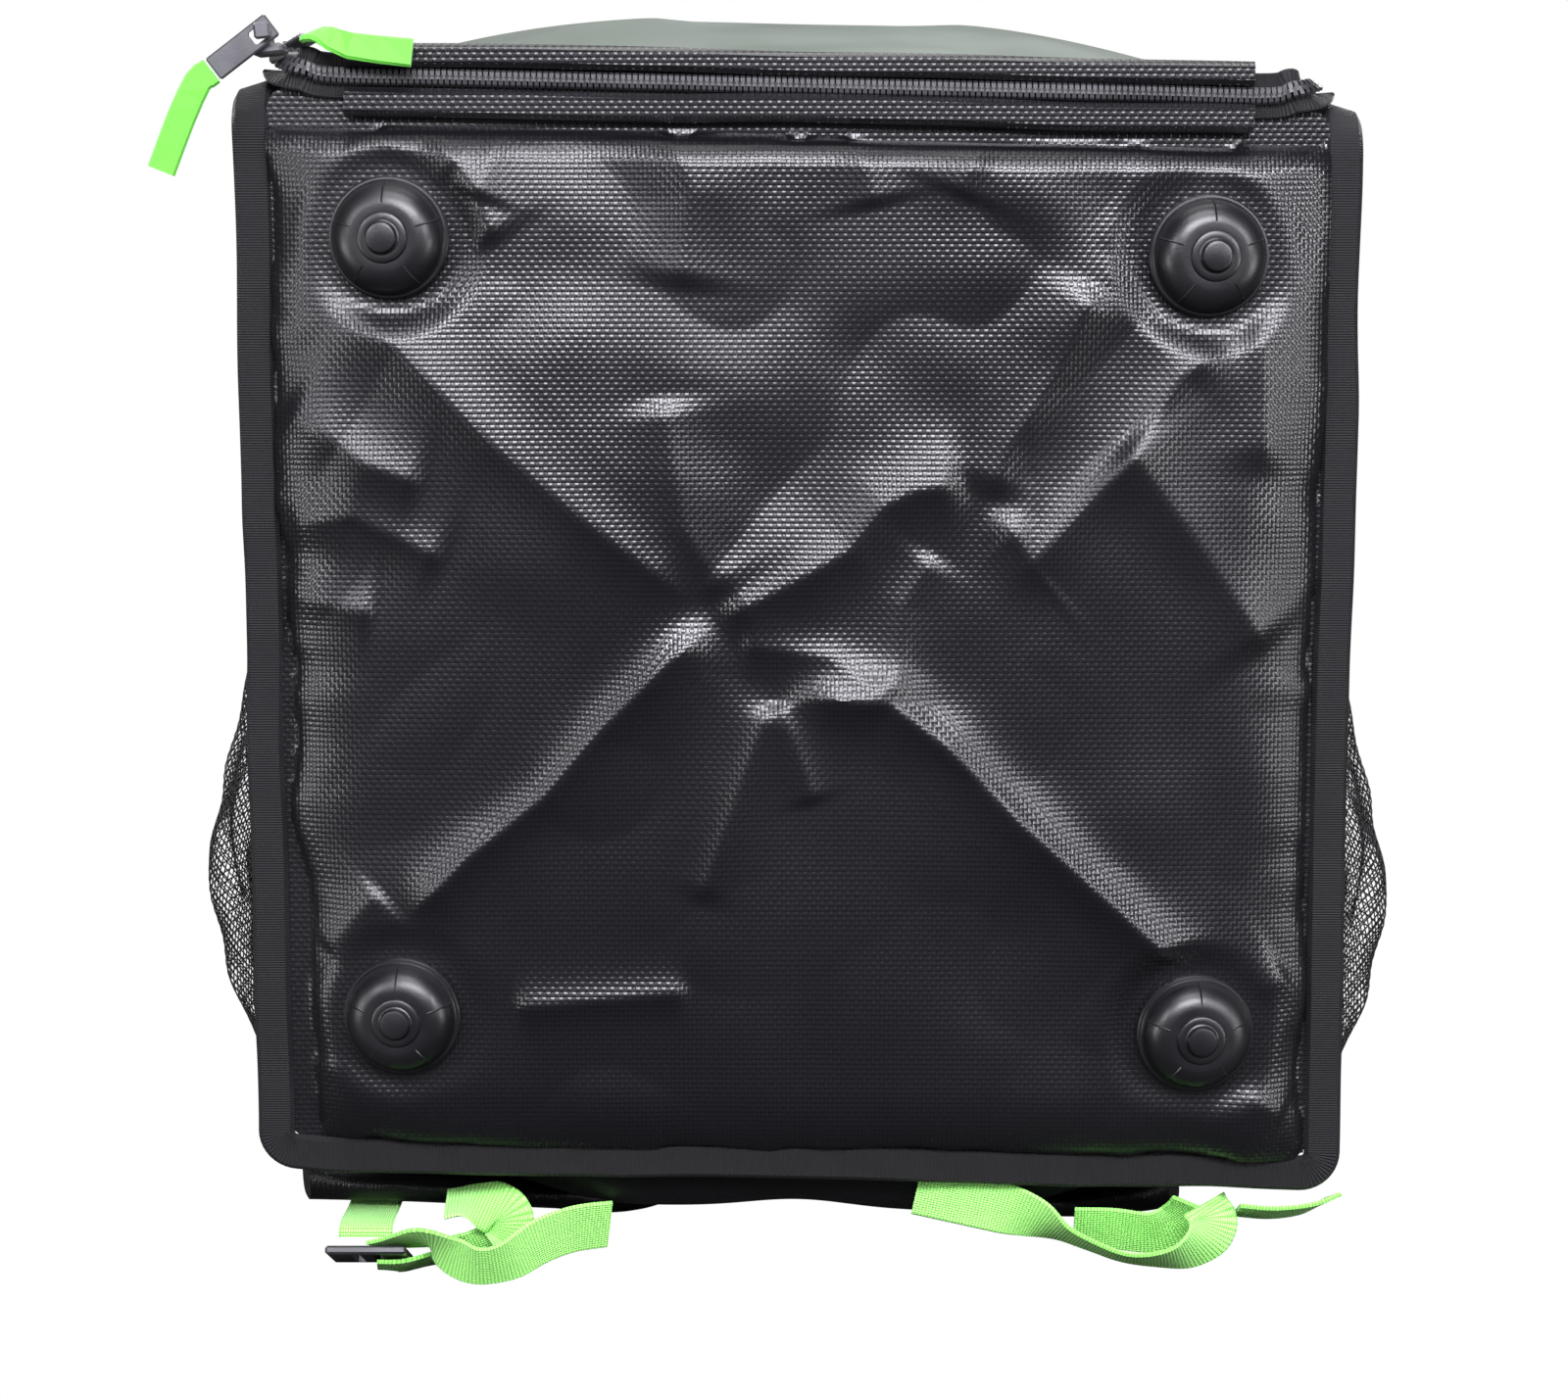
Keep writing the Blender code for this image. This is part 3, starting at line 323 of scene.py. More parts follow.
def plain_weave(nodes, links, x, y, pitch_x, pitch_y):
    """Height of a plain weave from 0 to 1, and which thread lies on top."""
    wave_x = math_node(nodes, links, "SINE", math_node(nodes, links, "MULTIPLY", x, math.pi / pitch_x))
    wave_y = math_node(nodes, links, "SINE", math_node(nodes, links, "MULTIPLY", y, math.pi / pitch_y))
    top = math_node(nodes, links, "GREATER_THAN", math_node(nodes, links, "MULTIPLY", wave_x, wave_y), 0.0)
    hump_x = math_node(nodes, links, "ABSOLUTE", wave_x)
    hump_y = math_node(nodes, links, "ABSOLUTE", wave_y)
    low = math_node(nodes, links, "MULTIPLY", math_node(nodes, links, "SUBTRACT", 1.0, top), hump_y)
    ends = math_node(nodes, links, "MULTIPLY", hump_x, hump_y)
    high = math_node(nodes, links, "MULTIPLY", top, hump_x)
    height = math_node(nodes, links, "ADD", low, high)
    height = math_node(nodes, links, "MULTIPLY_ADD", ends, 0.8, height)
    return height, top, ends


def bump(nodes, links, surface, height, distance, strength=1.0):
    node = nodes.new("ShaderNodeBump")
    node.inputs["Strength"].default_value = strength
    node.inputs["Distance"].default_value = distance
    links.new(height, node.inputs["Height"])
    links.new(node.outputs[0], surface.inputs["Normal"])
    return node


def noise_node(nodes, links, vector, scale, detail=3.0):
    node = nodes.new("ShaderNodeTexNoise")
    node.inputs["Scale"].default_value = scale
    node.inputs["Detail"].default_value = detail
    links.new(vector, node.inputs["Vector"])
    return node.outputs["Fac"]


def ramp(nodes, links, value, low, high, low_colour, high_colour):
    node = nodes.new("ShaderNodeMapRange")
    node.inputs["From Min"].default_value = low
    node.inputs["From Max"].default_value = high
    links.new(value, node.inputs["Value"])
    mix = nodes.new("ShaderNodeMix")
    mix.data_type = "RGBA"
    links.new(node.outputs["Result"], mix.inputs["Factor"])
    mix.inputs["A"].default_value = (*low_colour, 1.0)
    mix.inputs["B"].default_value = (*high_colour, 1.0)
    return mix.outputs["Result"]


def scaled(nodes, links, value, low, high, out_low, out_high):
    node = nodes.new("ShaderNodeMapRange")
    for key, number in (("From Min", low), ("From Max", high), ("To Min", out_low), ("To Max", out_high)):
        node.inputs[key].default_value = number
    links.new(value, node.inputs["Value"])
    return node.outputs["Result"]


def coated_fabric(name, colour, thread_highlight, first, second, axes):
    """Glossy coated plain weave, with its threads along two axes of the bag, and a painted highlight on its
    threads' tops.
    """
    made, nodes, links, surface = shader(name, colour, 0.30, specular=0.5)
    vector, split = coordinates(nodes, links, "Object")
    height, top, ends = plain_weave(nodes, links, split[axes[0]], split[axes[1]], first, second)
    cloud = noise_node(nodes, links, vector, 9.0)
    grain = noise_node(nodes, links, vector, 900.0, 2.0)
    total = math_node(nodes, links, "MULTIPLY_ADD", grain, 0.25, height)
    bump(nodes, links, surface, total, 0.00007)
    # Painted highlight: the colour is lighter where the threads cross on top.
    links.new(ramp(nodes, links, ends, 0.0, 1.0, colour, thread_highlight), surface.inputs["Base Color"])
    links.new(scaled(nodes, links, cloud, 0.3, 0.7, 0.25, 0.36), surface.inputs["Roughness"])
    return made


def smooth_vinyl():
    made, nodes, links, surface = shader("smooth_vinyl", (0.19, 0.215, 0.19), 0.32)
    vector, split = coordinates(nodes, links, "Object")
    cloud = noise_node(nodes, links, vector, 14.0)
    grain = noise_node(nodes, links, vector, 1400.0, 2.0)
    bump(nodes, links, surface, grain, 0.00004)
    shade = ramp(nodes, links, cloud, 0.3, 0.7, (0.105, 0.125, 0.105), (0.135, 0.155, 0.135))
    links.new(shade, surface.inputs["Base Color"])
    links.new(scaled(nodes, links, cloud, 0.3, 0.7, 0.28, 0.40), surface.inputs["Roughness"])
    return made


def ribbed_tape(name, colour, light, pitch=0.0009):
    """Grosgrain, with ribs across the run of the tape; its colour varies at random and is lighter on the rib
    crests, a painted highlight.
    """
    made, nodes, links, surface = shader(name, colour, 0.62, specular=0.22)
    vector, split = coordinates(nodes, links, "UV")
    turn_along = math_node(nodes, links, "MULTIPLY", split[1], 2 * math.pi / pitch)
    ribs = math_node(nodes, links, "SINE", turn_along)
    turn_across = math_node(nodes, links, "MULTIPLY", split[0], 2 * math.pi / 0.0006)
    threads = math_node(nodes, links, "SINE", turn_across)
    height = math_node(nodes, links, "MULTIPLY_ADD", threads, 0.25, ribs)
    cloud = noise_node(nodes, links, vector, 60.0)
    bump(nodes, links, surface, height, 0.00010)
    # Painted highlight on the rib crests, mixed with random tone from the cloud.
    mixed = math_node(nodes, links, "MULTIPLY_ADD", ribs, 0.18, cloud)
    links.new(ramp(nodes, links, mixed, 0.3, 0.8, colour, light), surface.inputs["Base Color"])
    links.new(scaled(nodes, links, cloud, 0.3, 0.7, 0.55, 0.75), surface.inputs["Roughness"])
    surface.inputs["Sheen Weight"].default_value = 0.04
    surface.inputs["Sheen Roughness"].default_value = 0.5
    return made


def webbing(name, dark, mid, light):
    """Woven webbing: staggered floats in rows along the band, with painted shade in its hollows and a
    painted highlight on the floats' tops.
    """
    made, nodes, links, surface = shader(name, mid, 0.55, specular=0.4)
    vector, split = coordinates(nodes, links, "UV")
    height, top, ends = plain_weave(nodes, links, split[0], split[1], 0.00095, 0.0012)
    cloud = noise_node(nodes, links, vector, 120.0)
    bump(nodes, links, surface, height, 0.00022)
    # Painted shade and highlight: dark in the weave's hollows, light on the raised floats.
    shade = ramp(nodes, links, height, 0.15, 1.5, dark, light)
    tint = nodes.new("ShaderNodeMix")
    tint.data_type = "RGBA"
    tint.blend_type = "MULTIPLY"
    tint.inputs["Factor"].default_value = 0.35
    links.new(shade, tint.inputs["A"])
    links.new(ramp(nodes, links, cloud, 0.3, 0.7, (0.80, 0.85, 0.80), (1.0, 1.0, 1.0)), tint.inputs["B"])
    links.new(tint.outputs["Result"], surface.inputs["Base Color"])
    links.new(scaled(nodes, links, height, 0.0, 1.6, 0.70, 0.42), surface.inputs["Roughness"])
    surface.inputs["Sheen Weight"].default_value = 0.2
    surface.inputs["Sheen Roughness"].default_value = 0.4
    return made


def speckled(name, colour, light, roughness, grain_scale=1200.0, depth=0.00004, metallic=0.0, specular=0.5):
    """A moulded or painted surface with fine grain and uneven gloss."""
    made, nodes, links, surface = shader(name, colour, roughness, metallic, specular)
    vector, split = coordinates(nodes, links, "Object")
    grain = noise_node(nodes, links, vector, grain_scale, 2.0)
    cloud = noise_node(nodes, links, vector, 40.0)
    bump(nodes, links, surface, grain, depth)
    links.new(ramp(nodes, links, cloud, 0.3, 0.7, colour, light), surface.inputs["Base Color"])
    gloss = scaled(nodes, links, cloud, 0.3, 0.7, roughness - 0.05, roughness + 0.08)
    links.new(gloss, surface.inputs["Roughness"])
    return made


UNDERSIDE = coated_fabric(
    "coated_fabric", COATED_DARK, COATED_THREAD_HIGHLIGHT, THREAD_ACROSS, THREAD_UP, (0, 2)
)
SIDES = coated_fabric(
    "coated_fabric_sides", COATED_DARK, COATED_THREAD_HIGHLIGHT, THREAD_ACROSS, THREAD_UP, (1, 2)
)
VINYL = smooth_vinyl()
# The tape's second colour is partly random tone and partly a painted highlight on its rib crests.
TAPE = ribbed_tape("binding_tape", (0.0030, 0.0029, 0.0037), (0.0070, 0.0067, 0.0080))
MESH_CLOTH = speckled("mesh_cloth", (0.0050, 0.0050, 0.0058), (0.0090, 0.0090, 0.0100), 0.6)
# Its second colour is a painted highlight on the tops of its threads.
PADDED = coated_fabric(
    "padded_fabric", (0.0036, 0.0036, 0.0042), (0.0070, 0.0070, 0.0080), FINE_THREAD, FINE_THREAD, (0, 1)
)
PADDED.node_tree.nodes["Principled BSDF"].inputs["Specular IOR Level"].default_value = 0.25
RUBBER = speckled("rubber", (0.0028, 0.0027, 0.0038), (0.0044, 0.0042, 0.0055), 0.36)
METAL = speckled("dark_metal", (0.10, 0.10, 0.11), (0.16, 0.16, 0.17), 0.36, depth=0.00002, metallic=0.8)
PLASTIC = speckled("plastic", (0.012, 0.012, 0.014), (0.020, 0.020, 0.023), 0.38)
# The dark and light greens are painted shade in the weave's hollows and a painted highlight on its floats.
GREEN = webbing("green_webbing", (0.10, 0.46, 0.035), (0.30, 0.85, 0.13), (0.44, 1.00, 0.24))

# Underside: shares of its half width and half depth from its middle, x to the right and z to the front.
UNDERSIDE_FOLDS = [
    # path, height in metres, breadth to the left of the path and to its right
    ([(-0.87, 0.62), (-0.58, 0.34), (-0.40, 0.20), (-0.19, 0.05)], 0.0036, 0.075, 0.045),
    (
        [(-0.16, 0.02), (-0.02, 0.09), (0.10, 0.16), (0.16, 0.24), (0.22, 0.27), (0.33, 0.29)],
        0.0044, 0.070, 0.050,
    ),
    (
        [(0.34, 0.24), (0.40, 0.20), (0.44, 0.14), (0.60, 0.31), (0.72, 0.49), (0.82, 0.56)],
        0.0040, 0.060, 0.045,
    ),
    ([(0.56, 0.66), (0.49, 0.50), (0.40, 0.36), (0.36, 0.25)], 0.0032, 0.045, 0.060),
    (
        [(-0.15, 0.02), (-0.24, -0.05), (-0.37, -0.18), (-0.48, -0.31), (-0.63, -0.43), (-0.76, -0.56)],
        0.0056, 0.050, 0.042,
    ),
    (
        [(-0.05, -0.11), (0.17, -0.12), (0.28, -0.20), (0.42, -0.34)]
        + [(0.57, -0.47), (0.72, -0.60), (0.82, -0.67)],
        0.0072, 0.047, 0.060,
    ),
    ([(-0.05, -0.12), (-0.14, -0.38), (-0.19, -0.52)], 0.0026, 0.035, 0.035),
    ([(-0.04, -0.12), (0.03, -0.32)], 0.0024, 0.030, 0.030),
    ([(-0.12, -0.02), (0.06, -0.04), (0.18, -0.12)], 0.0020, 0.040, 0.040),
    ([(0.18, -0.12), (0.20, 0.06), (0.26, 0.16)], 0.0022, 0.040, 0.040),
    ([(-0.56, -0.72), (-0.20, -0.68)], 0.0030, 0.036, 0.040),
    ([(-0.70, 0.95), (-0.62, 0.80), (-0.56, 0.70)], 0.0030, 0.050, 0.045),
    ([(-0.82, 0.92), (-0.66, 0.80)], 0.0026, 0.045, 0.045),
    ([(-0.55, 0.92), (-0.60, 0.78)], 0.0024, 0.045, 0.045),
    ([(-0.98, 0.40), (-0.82, 0.30), (-0.70, 0.26)], 0.0034, 0.055, 0.045),
    ([(-0.98, 0.18), (-0.84, 0.20), (-0.66, 0.12)], 0.0032, 0.055, 0.045),
    ([(-0.98, 0.05), (-0.80, 0.02)], 0.0026, 0.050, 0.040),
    ([(0.80, 0.90), (0.86, 0.60), (0.88, 0.30)], 0.0030, 0.060, 0.060),
    ([(0.60, 0.38), (0.74, 0.20), (0.90, -0.02)], 0.0050, 0.110, 0.070),
    ([(-0.26, 0.96), (-0.20, 0.80), (-0.22, 0.62)], 0.0030, 0.070, 0.060),
    ([(0.10, 0.95), (0.14, 0.78)], 0.0026, 0.060, 0.050),
    ([(0.36, 0.96), (0.30, 0.80)], 0.0026, 0.060, 0.050),
    ([(-0.26, 0.44), (-0.22, 0.20), (-0.14, 0.06)], 0.0026, 0.070, 0.050),
    ([(-0.92, -0.62), (-0.80, -0.50)], 0.0024, 0.050, 0.050),
    ([(-0.95, -0.85), (-0.78, -0.82)], 0.0026, 0.045, 0.045),
    ([(0.95, -0.62), (0.80, -0.72)], 0.0030, 0.050, 0.050),
    ([(0.95, -0.90), (0.82, -0.84)], 0.0030, 0.045, 0.045),
]


def feet_places():
    x = HALF - FOOT_INSET_X
    high, low = FRONT - FOOT_INSET_FRONT, RIDE_HEIGHT + FOOT_INSET_BACK
    return [
        ("foot_front_left", -x, high),
        ("foot_front_right", x, high),
        ("foot_back_left", -x, low),
        ("foot_back_right", x, low),
    ]


def pillow(away, reach):
    """From 0 at a seam to 1 at some reach from it, round as on a stuffed edge."""
    share = np.clip(away / reach, 0.0, 1.0)
    return np.sqrt(np.clip(1 - (1 - share) ** 2, 0.0, 1.0)) * smooth(0.0, 0.06, share)


def underside_height(x, z):
    down = smooth(0.35, -1.0, (z - MID_DEPTH) / (DEPTH / 2))
    side = HALF - np.abs(x) - down * np.where(x < 0, 0.011, 0.005)
    back = z - RIDE_HEIGHT
    front = FRONT - WELT_WIDTH - ZIP_WIDTH / 2 - z
    pucker = noise(z, np.sign(x) * 7, 0.030, 5) * 0.0034 + noise(z, np.sign(x), 0.010, 6) * 0.0010
    low_pucker = noise(x, z * 0, 0.034, 7) * 0.0026 + noise(x, z * 0, 0.011, 8) * 0.0008
    rise = 0.021
    roll = pillow(side + pucker, rise * 1.5) * pillow(back + low_pucker, rise * 1.3)
    roll = roll * pillow(front + low_pucker * 0.3, rise / 2)
    u, v = x / HALF, (z - MID_DEPTH) / (DEPTH / 2)
    crossing = np.maximum(np.abs(u + 0.06), np.abs(v - 0.02))
    height = PUFF + PEAK * np.clip(1 - crossing, 0, 1) + crease(u, v, UNDERSIDE_FOLDS)
    upper = 0.5 + 0.5 * smooth(-0.2, 0.4, v)
    height = height + upper * (noise(x, z, 0.085, 11) * 0.0034 + noise(x + z * 0.5, z, 0.034, 12) * 0.0011)
    height = height + np.abs(noise(x - z * 0.7, z + x * 0.4, 0.040, 13)) * 0.0016 * upper
    height = height * roll
    for _, foot_x, foot_z in feet_places():
        near = np.hypot(x - foot_x, z - foot_z)
        seat = smooth(FOOT_RADIUS * 1.7, FOOT_RADIUS * 1.12, near)
        height = height + (PUFF - height) * seat
    return height


def build_underside():
    low, high = RIDE_HEIGHT, FRONT - WELT_THICK
    middle, half_z = (low + high) / 2, (high - low) / 2

    def outer(u, v):
        x, z = rounded(u, v, HALF, half_z, CORNER / 2)
        z = z + middle
        return np.stack((x, SEAM - underside_height(x, z), z), axis=-1)

    def inner(u, v):
        x, z = rounded(u, v, HALF, half_z, CORNER / 2)
        return np.stack((x, np.full_like(x, SEAM + WALL), z + middle), axis=-1)

    obj = slab("underside_cover", 240, 246, outer, inner, UNDERSIDE)
    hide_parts("bottom_panel")


def build_walls():
    near, far = SEAM + WALL + GAP, TOP - WALL - GAP
    low, high = RIDE_HEIGHT + WALL + GAP, FRONT
    for name, sign in (("left", -1), ("right", 1)):

        def outer(u, v, sign=sign):
            y = (near + far) / 2 + u * (far - near) / 2
            z = (low + high) / 2 + v * (high - low) / 2
            calm = (1 - u**6) * (1 - v**6)
            sag = noise(y, z, 0.090, 21 + sign) * 0.0016 + noise(y + z * 0.6, z, 0.035, 23 + sign) * 0.0007
            x = sign * (HALF + SIDE_PUFF * (1 - u**4) * (1 - v**4) + np.clip(sag * calm, -0.003, 0.0012))
            return np.stack((x, y, z), axis=-1)

        def inner(u, v, sign=sign):
            y = (near + far) / 2 + u * (far - near) / 2
            z = (low + high) / 2 + v * (high - low) / 2
            return np.stack((np.full_like(y, sign * (HALF - WALL)), y, z), axis=-1)

        obj = slab("side_cover_" + name, 90, 80, outer, inner, SIDES)
        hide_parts("side_panel_" + name)

    def top_outer(u, v):
        x, z = rounded(u, v, HALF, DEPTH / 2, CORNER / 2)
        calm = (1 - u**6) * (1 - v**6)
        sag = noise(x, z, 0.080, 31) * 0.0015 + noise(x, z, 0.030, 32) * 0.0006
        y = TOP + TOP_PUFF * (1 - u**4) * (1 - v**4) + np.clip(sag * calm, -0.004, 0.0)
        return np.stack((x, y, z + MID_DEPTH), axis=-1)

    def top_inner(u, v):
        x, z = rounded(u, v, HALF, DEPTH / 2, CORNER / 2)
        return np.stack((x, np.full_like(x, TOP - WALL), z + MID_DEPTH), axis=-1)

    obj = slab("top_cover", 90, 90, top_outer, top_inner, UNDERSIDE)
    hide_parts("top_panel")


def back_depth(x, y):
    u, v = x / HALF, (y - (SEAM + TOP) / 2) / (HEIGHT / 2)
    across = smooth(0.95, 0.30, np.abs(u))
    along = smooth(1.0, 0.91, np.abs(v)) ** 0.6
    spine = 1 - 0.12 * np.exp(-((u / 0.14) ** 2))
    return BACK_PUFF * across * along * spine


def build_back():
    near, far = SEAM + WALL + GAP, TOP - WALL - GAP

    def outer(u, v):
        x, y = u * HALF, (near + far) / 2 + v * (far - near) / 2
        channel = np.exp(-(((np.abs(u) - 0.62) / 0.02) ** 2)) + np.exp(-(((v + 0.55) / 0.02) ** 2))
        channel = channel + np.exp(-(((v - 0.10) / 0.02) ** 2))
        z = RIDE_HEIGHT - back_depth(x, y) + 0.0022 * np.clip(channel, 0, 1) * (1 - u**8) * (1 - v**8)
        return np.stack((x, y, z), axis=-1)

    def inner(u, v):
        x, y = u * HALF, (near + far) / 2 + v * (far - near) / 2
        return np.stack((x, y, np.full_like(x, RIDE_HEIGHT + WALL)), axis=-1)

    obj = slab("back_cover", 120, 140, outer, inner, PADDED)
    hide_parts("back_panel")


DOOR_FOLDS = [
    ([(-0.85, -0.85), (-0.55, -0.60), (-0.25, -0.35)], 0.0014, 0.10, 0.14),
    ([(0.85, -0.85), (0.55, -0.58), (0.30, -0.30)], 0.0014, 0.10, 0.14),
    ([(-0.20, -0.80), (0.05, -0.74), (0.35, -0.70)], 0.0012, 0.08, 0.08),
    ([(-0.60, 0.60), (-0.20, 0.35), (0.15, 0.30)], 0.0020, 0.08, 0.12),
]


def build_door():
    half, near, far = HALF - WALL - GAP, SEAM + WALL + GAP, TOP - WALL - GAP

    def outer(u, v):
        x, y = u * half, (near + far) / 2 + v * (far - near) / 2
        along = (y - near) / (far - near)
        across = 1 - np.abs(u) ** 3.4
        rise = smooth(0.0, 0.34, along) ** 0.75 * smooth(1.0, 0.55, along) ** 0.8
        rim = smooth(ZIP_WIDTH * 0.75, ZIP_WIDTH * 1.4, half - np.abs(x)) * smooth(0.0, 0.06, along)
        inside = smooth(ZIP_WIDTH * 0.7, ZIP_WIDTH * 2.2, half - np.abs(x))
        folds = crease(u, 2 * along - 1, DOOR_FOLDS) + noise(x, y, 0.070, 41) * 0.0006
        z = FRONT + DOOR_LIFT * rim + (DOOR_PUFF * rise * across + folds * smooth(0, 0.1, rise)) * inside
        return np.stack((x, y, z), axis=-1)

    def inner(u, v):
        points = outer(u, v)
        points[..., 2] -= WALL
        return points

    obj = slab("door_cover", 130, 150, outer, inner, VINYL)
    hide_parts("door_panel")


def arc(middle, start, end, steps):
    a, b = Vector(start) - Vector(middle), Vector(end) - Vector(middle)
    angle = a.angle(b)
    out = []
    for k in range(steps + 1):
        share = k / steps
        mixed = (a * math.sin((1 - share) * angle) + b * math.sin(share * angle)) / math.sin(angle)
        out.append(tuple(Vector(middle) + mixed))
    return out


def build_bindings():
    outer = HALF + GAP + FLANGE / 2 - 0.0010
    low = RIDE_HEIGHT - GAP - FLANGE / 2 + 0.0010
    side_turn = FLANGE / 2 + 0.002
    far = TOP - TAPE_THICK / 2 - GAP
    high = FRONT - TAPE_THICK / 2 - FLANGE / 2 * TAPE_DROOP
    left, down = Vector((-1, 0, 0)), Vector((0, 0, -1))
    droop = (left + down * TAPE_DROOP).normalized()
    rows = []
    steps = 60
    for k in range(steps):
        rows.append(((-outer, far + (SEAM + CORNER - far) * k / steps, high), droop))
    turn = arc(
        (-outer, SEAM + CORNER, high - CORNER),
        (-outer, SEAM + CORNER, high),
        (-outer, SEAM, high - CORNER),
        10,
    )
    for k, point in enumerate(turn):
        rows.append((point, (droop * (10 - k) + left * k).normalized()))
    for k in range(1, steps):
        rows.append(((-outer, SEAM, high - CORNER + (low + side_turn - high + CORNER) * k / steps), left))
    for k in range(11):
        angle = math.pi / 2 * k / 10
        point = (-outer + side_turn * (1 - math.cos(angle)), SEAM, low + side_turn * (1 - math.sin(angle)))
        rows.append((point, left * math.cos(angle) + down * math.sin(angle)))
    for k in range(1, 50):
        rows.append((((-outer + side_turn) * (1 - k / 50), SEAM, low), down))
    mirrored = [((-p[0], p[1], p[2]), Vector((-w[0], w[1], w[2]))) for p, w in reversed(rows)]
    rows = rows + [((0.0, SEAM, low), down)] + mirrored
    path = place([p for p, w in rows])
    across = [tuple(w) for p, w in rows]
    thick = TAPE_THICK * TAPE_FLATTEN
    obj = band("binding_tape_bottom", path, across, FLANGE + TAPE_LAP, thick, TAPE, ripple=0.0007, seed=51)
    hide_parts("binding_bottom")

    top_high = FRONT + GAP + FLANGE / 2
    rows = []
    half_z = (top_high - low) / 2
    for sign_x, sign_z, start in ((-1, 1, 90), (-1, -1, 180), (1, -1, 270), (1, 1, 0)):
        for k in range(9):
            angle = math.radians(start + 90 * k / 8)
            x = sign_x * (outer - CORNER) + CORNER * math.cos(angle)
            z = (top_high + low) / 2 + sign_z * (half_z - CORNER - 0.001) + CORNER * math.sin(angle)
            rows.append(((x, TOP + TAPE_THICK / 2 + GAP, z), (math.cos(angle), 0, math.sin(angle))))
    full = []
    for (a, wa), (b, wb) in zip(rows, rows[1:] + rows[:1]):
        cuts = max(1, int(math.dist(a, b) / 0.006))
        for k in range(cuts):
            t = k / cuts
            point = tuple(np.array(a) * (1 - t) + np.array(b) * t)
            full.append((point, tuple(np.array(wa) * (1 - t) + np.array(wb) * t)))
    path = place([p for p, w in full])
    across = [w for p, w in full]
    width = FLANGE + TOP_TAPE_LAP
    obj = band(
        "binding_tape_top", path, across, width, TAPE_THICK, TAPE, closed=True, ripple=0.0004, seed=52
    )
    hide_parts("binding_top")

    near, far = SEAM + TAPE_THICK / 2 + GAP, TOP - GAP
    for name, sign in (("left", -1), ("right", 1)):
        ys = np.linspace(near, far, 70)
        path = place(np.stack((np.full(70, sign * outer), ys, np.full(70, RIDE_HEIGHT + WALL / 2)), axis=1))
        across = [(sign, 0, 0)] * 70
        obj = band("binding_tape_back_" + name, path, across, FLANGE, thick, TAPE, ripple=0.0006, seed=53)
        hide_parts("binding_back_" + name)


def turned(name, profile, matrix, steps, finish, body="bag"):
    """A body turned from a profile of radius and height about local z."""
    verts, faces = [], []
    for r, h in profile:
        if r < 1e-9:
            verts.append(matrix @ Vector((0, 0, h)))
        else:
            for k in range(steps):
                angle = 2 * math.pi * k / steps
                verts.append(matrix @ Vector((r * math.cos(angle), r * math.sin(angle), h)))
    starts, at = [], 0
    for r, h in profile:
        starts.append(at)
        at += 1 if r < 1e-9 else steps
    for (ra, _), (rb, _), a, b in zip(profile, profile[1:], starts, starts[1:]):
        for k in range(steps):
            m = (k + 1) % steps
            if ra < 1e-9:
                faces.append((a, b + k, b + m))
            elif rb < 1e-9:
                faces.append((a + k, b, a + m))
            else:
                faces.append((a + k, b + k, b + m, a + m))
    return add_mesh(name, verts, faces, finish, body=body, smooth_angle=32)


def build_feet():
    dome = [(0.0, 0.0160), (0.0040, 0.0160), (0.0050, 0.0157), (0.0055, 0.0150), (0.0057, 0.0140)]
    dome += [(0.0062, 0.0137), (0.0078, 0.0138), (0.0086, 0.0134), (0.0090, 0.0126)]
    for k in range(13):
        angle = math.radians(80 - 6.2 * k)
        dome.append((0.0092 + 0.0104 * math.cos(angle) ** 0.9, 0.0032 + 0.0096 * math.sin(angle)))
    dome += [(0.0199, 0.0034), (0.0203, 0.0030), (0.0210, 0.0029), (0.0215, 0.0023)]
    dome += [(0.0215, 0.0004), (0.0210, 0.0), (0.0, 0.0)]
    for name, x, z in feet_places():
        spot = place([(x, SEAM - PUFF - GAP, z)])[0]
        tip = math.copysign(math.radians(FOOT_TIP), x)
        matrix = Matrix.Translation(Vector(spot) + Vector((0, 0.0012, 0))) @ Matrix.Rotation(tip, 4, "Z")
        matrix = matrix @ Matrix.Rotation(math.radians(90), 4, "X")
        obj = turned(name + "_dome", dome, matrix, 64, RUBBER)
        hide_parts(name)
        for k in range(5):
            angle = math.radians(72 * k + 18)
            verts, faces = [], []
            for i in range(9):
                t = math.radians(76 - 8.4 * i)
                r, h = 0.0092 + 0.0104 * math.cos(t) ** 0.9, 0.0032 + 0.0096 * math.sin(t)
                across = Vector((-math.sin(angle), math.cos(angle), 0)) * 0.00035
                centre = Vector((r * math.cos(angle), r * math.sin(angle), h))
                outward = Vector((math.cos(angle) * math.cos(t), math.sin(angle) * math.cos(t), math.sin(t)))
                outward = outward * 0.0003
                for offset in (across, outward, -across, -outward):
                    verts.append(matrix @ (centre + offset))
                if i:
                    for j in range(4):
                        m = (j + 1) % 4
                        a = (i - 1) * 4
                        faces.append((a + j, a + m, a + 4 + m, a + 4 + j))
            faces.append((0, 1, 2, 3))
            faces.append((35, 34, 33, 32))
            rib = add_mesh(f"{name}_rib_{k}", verts, faces, RUBBER)


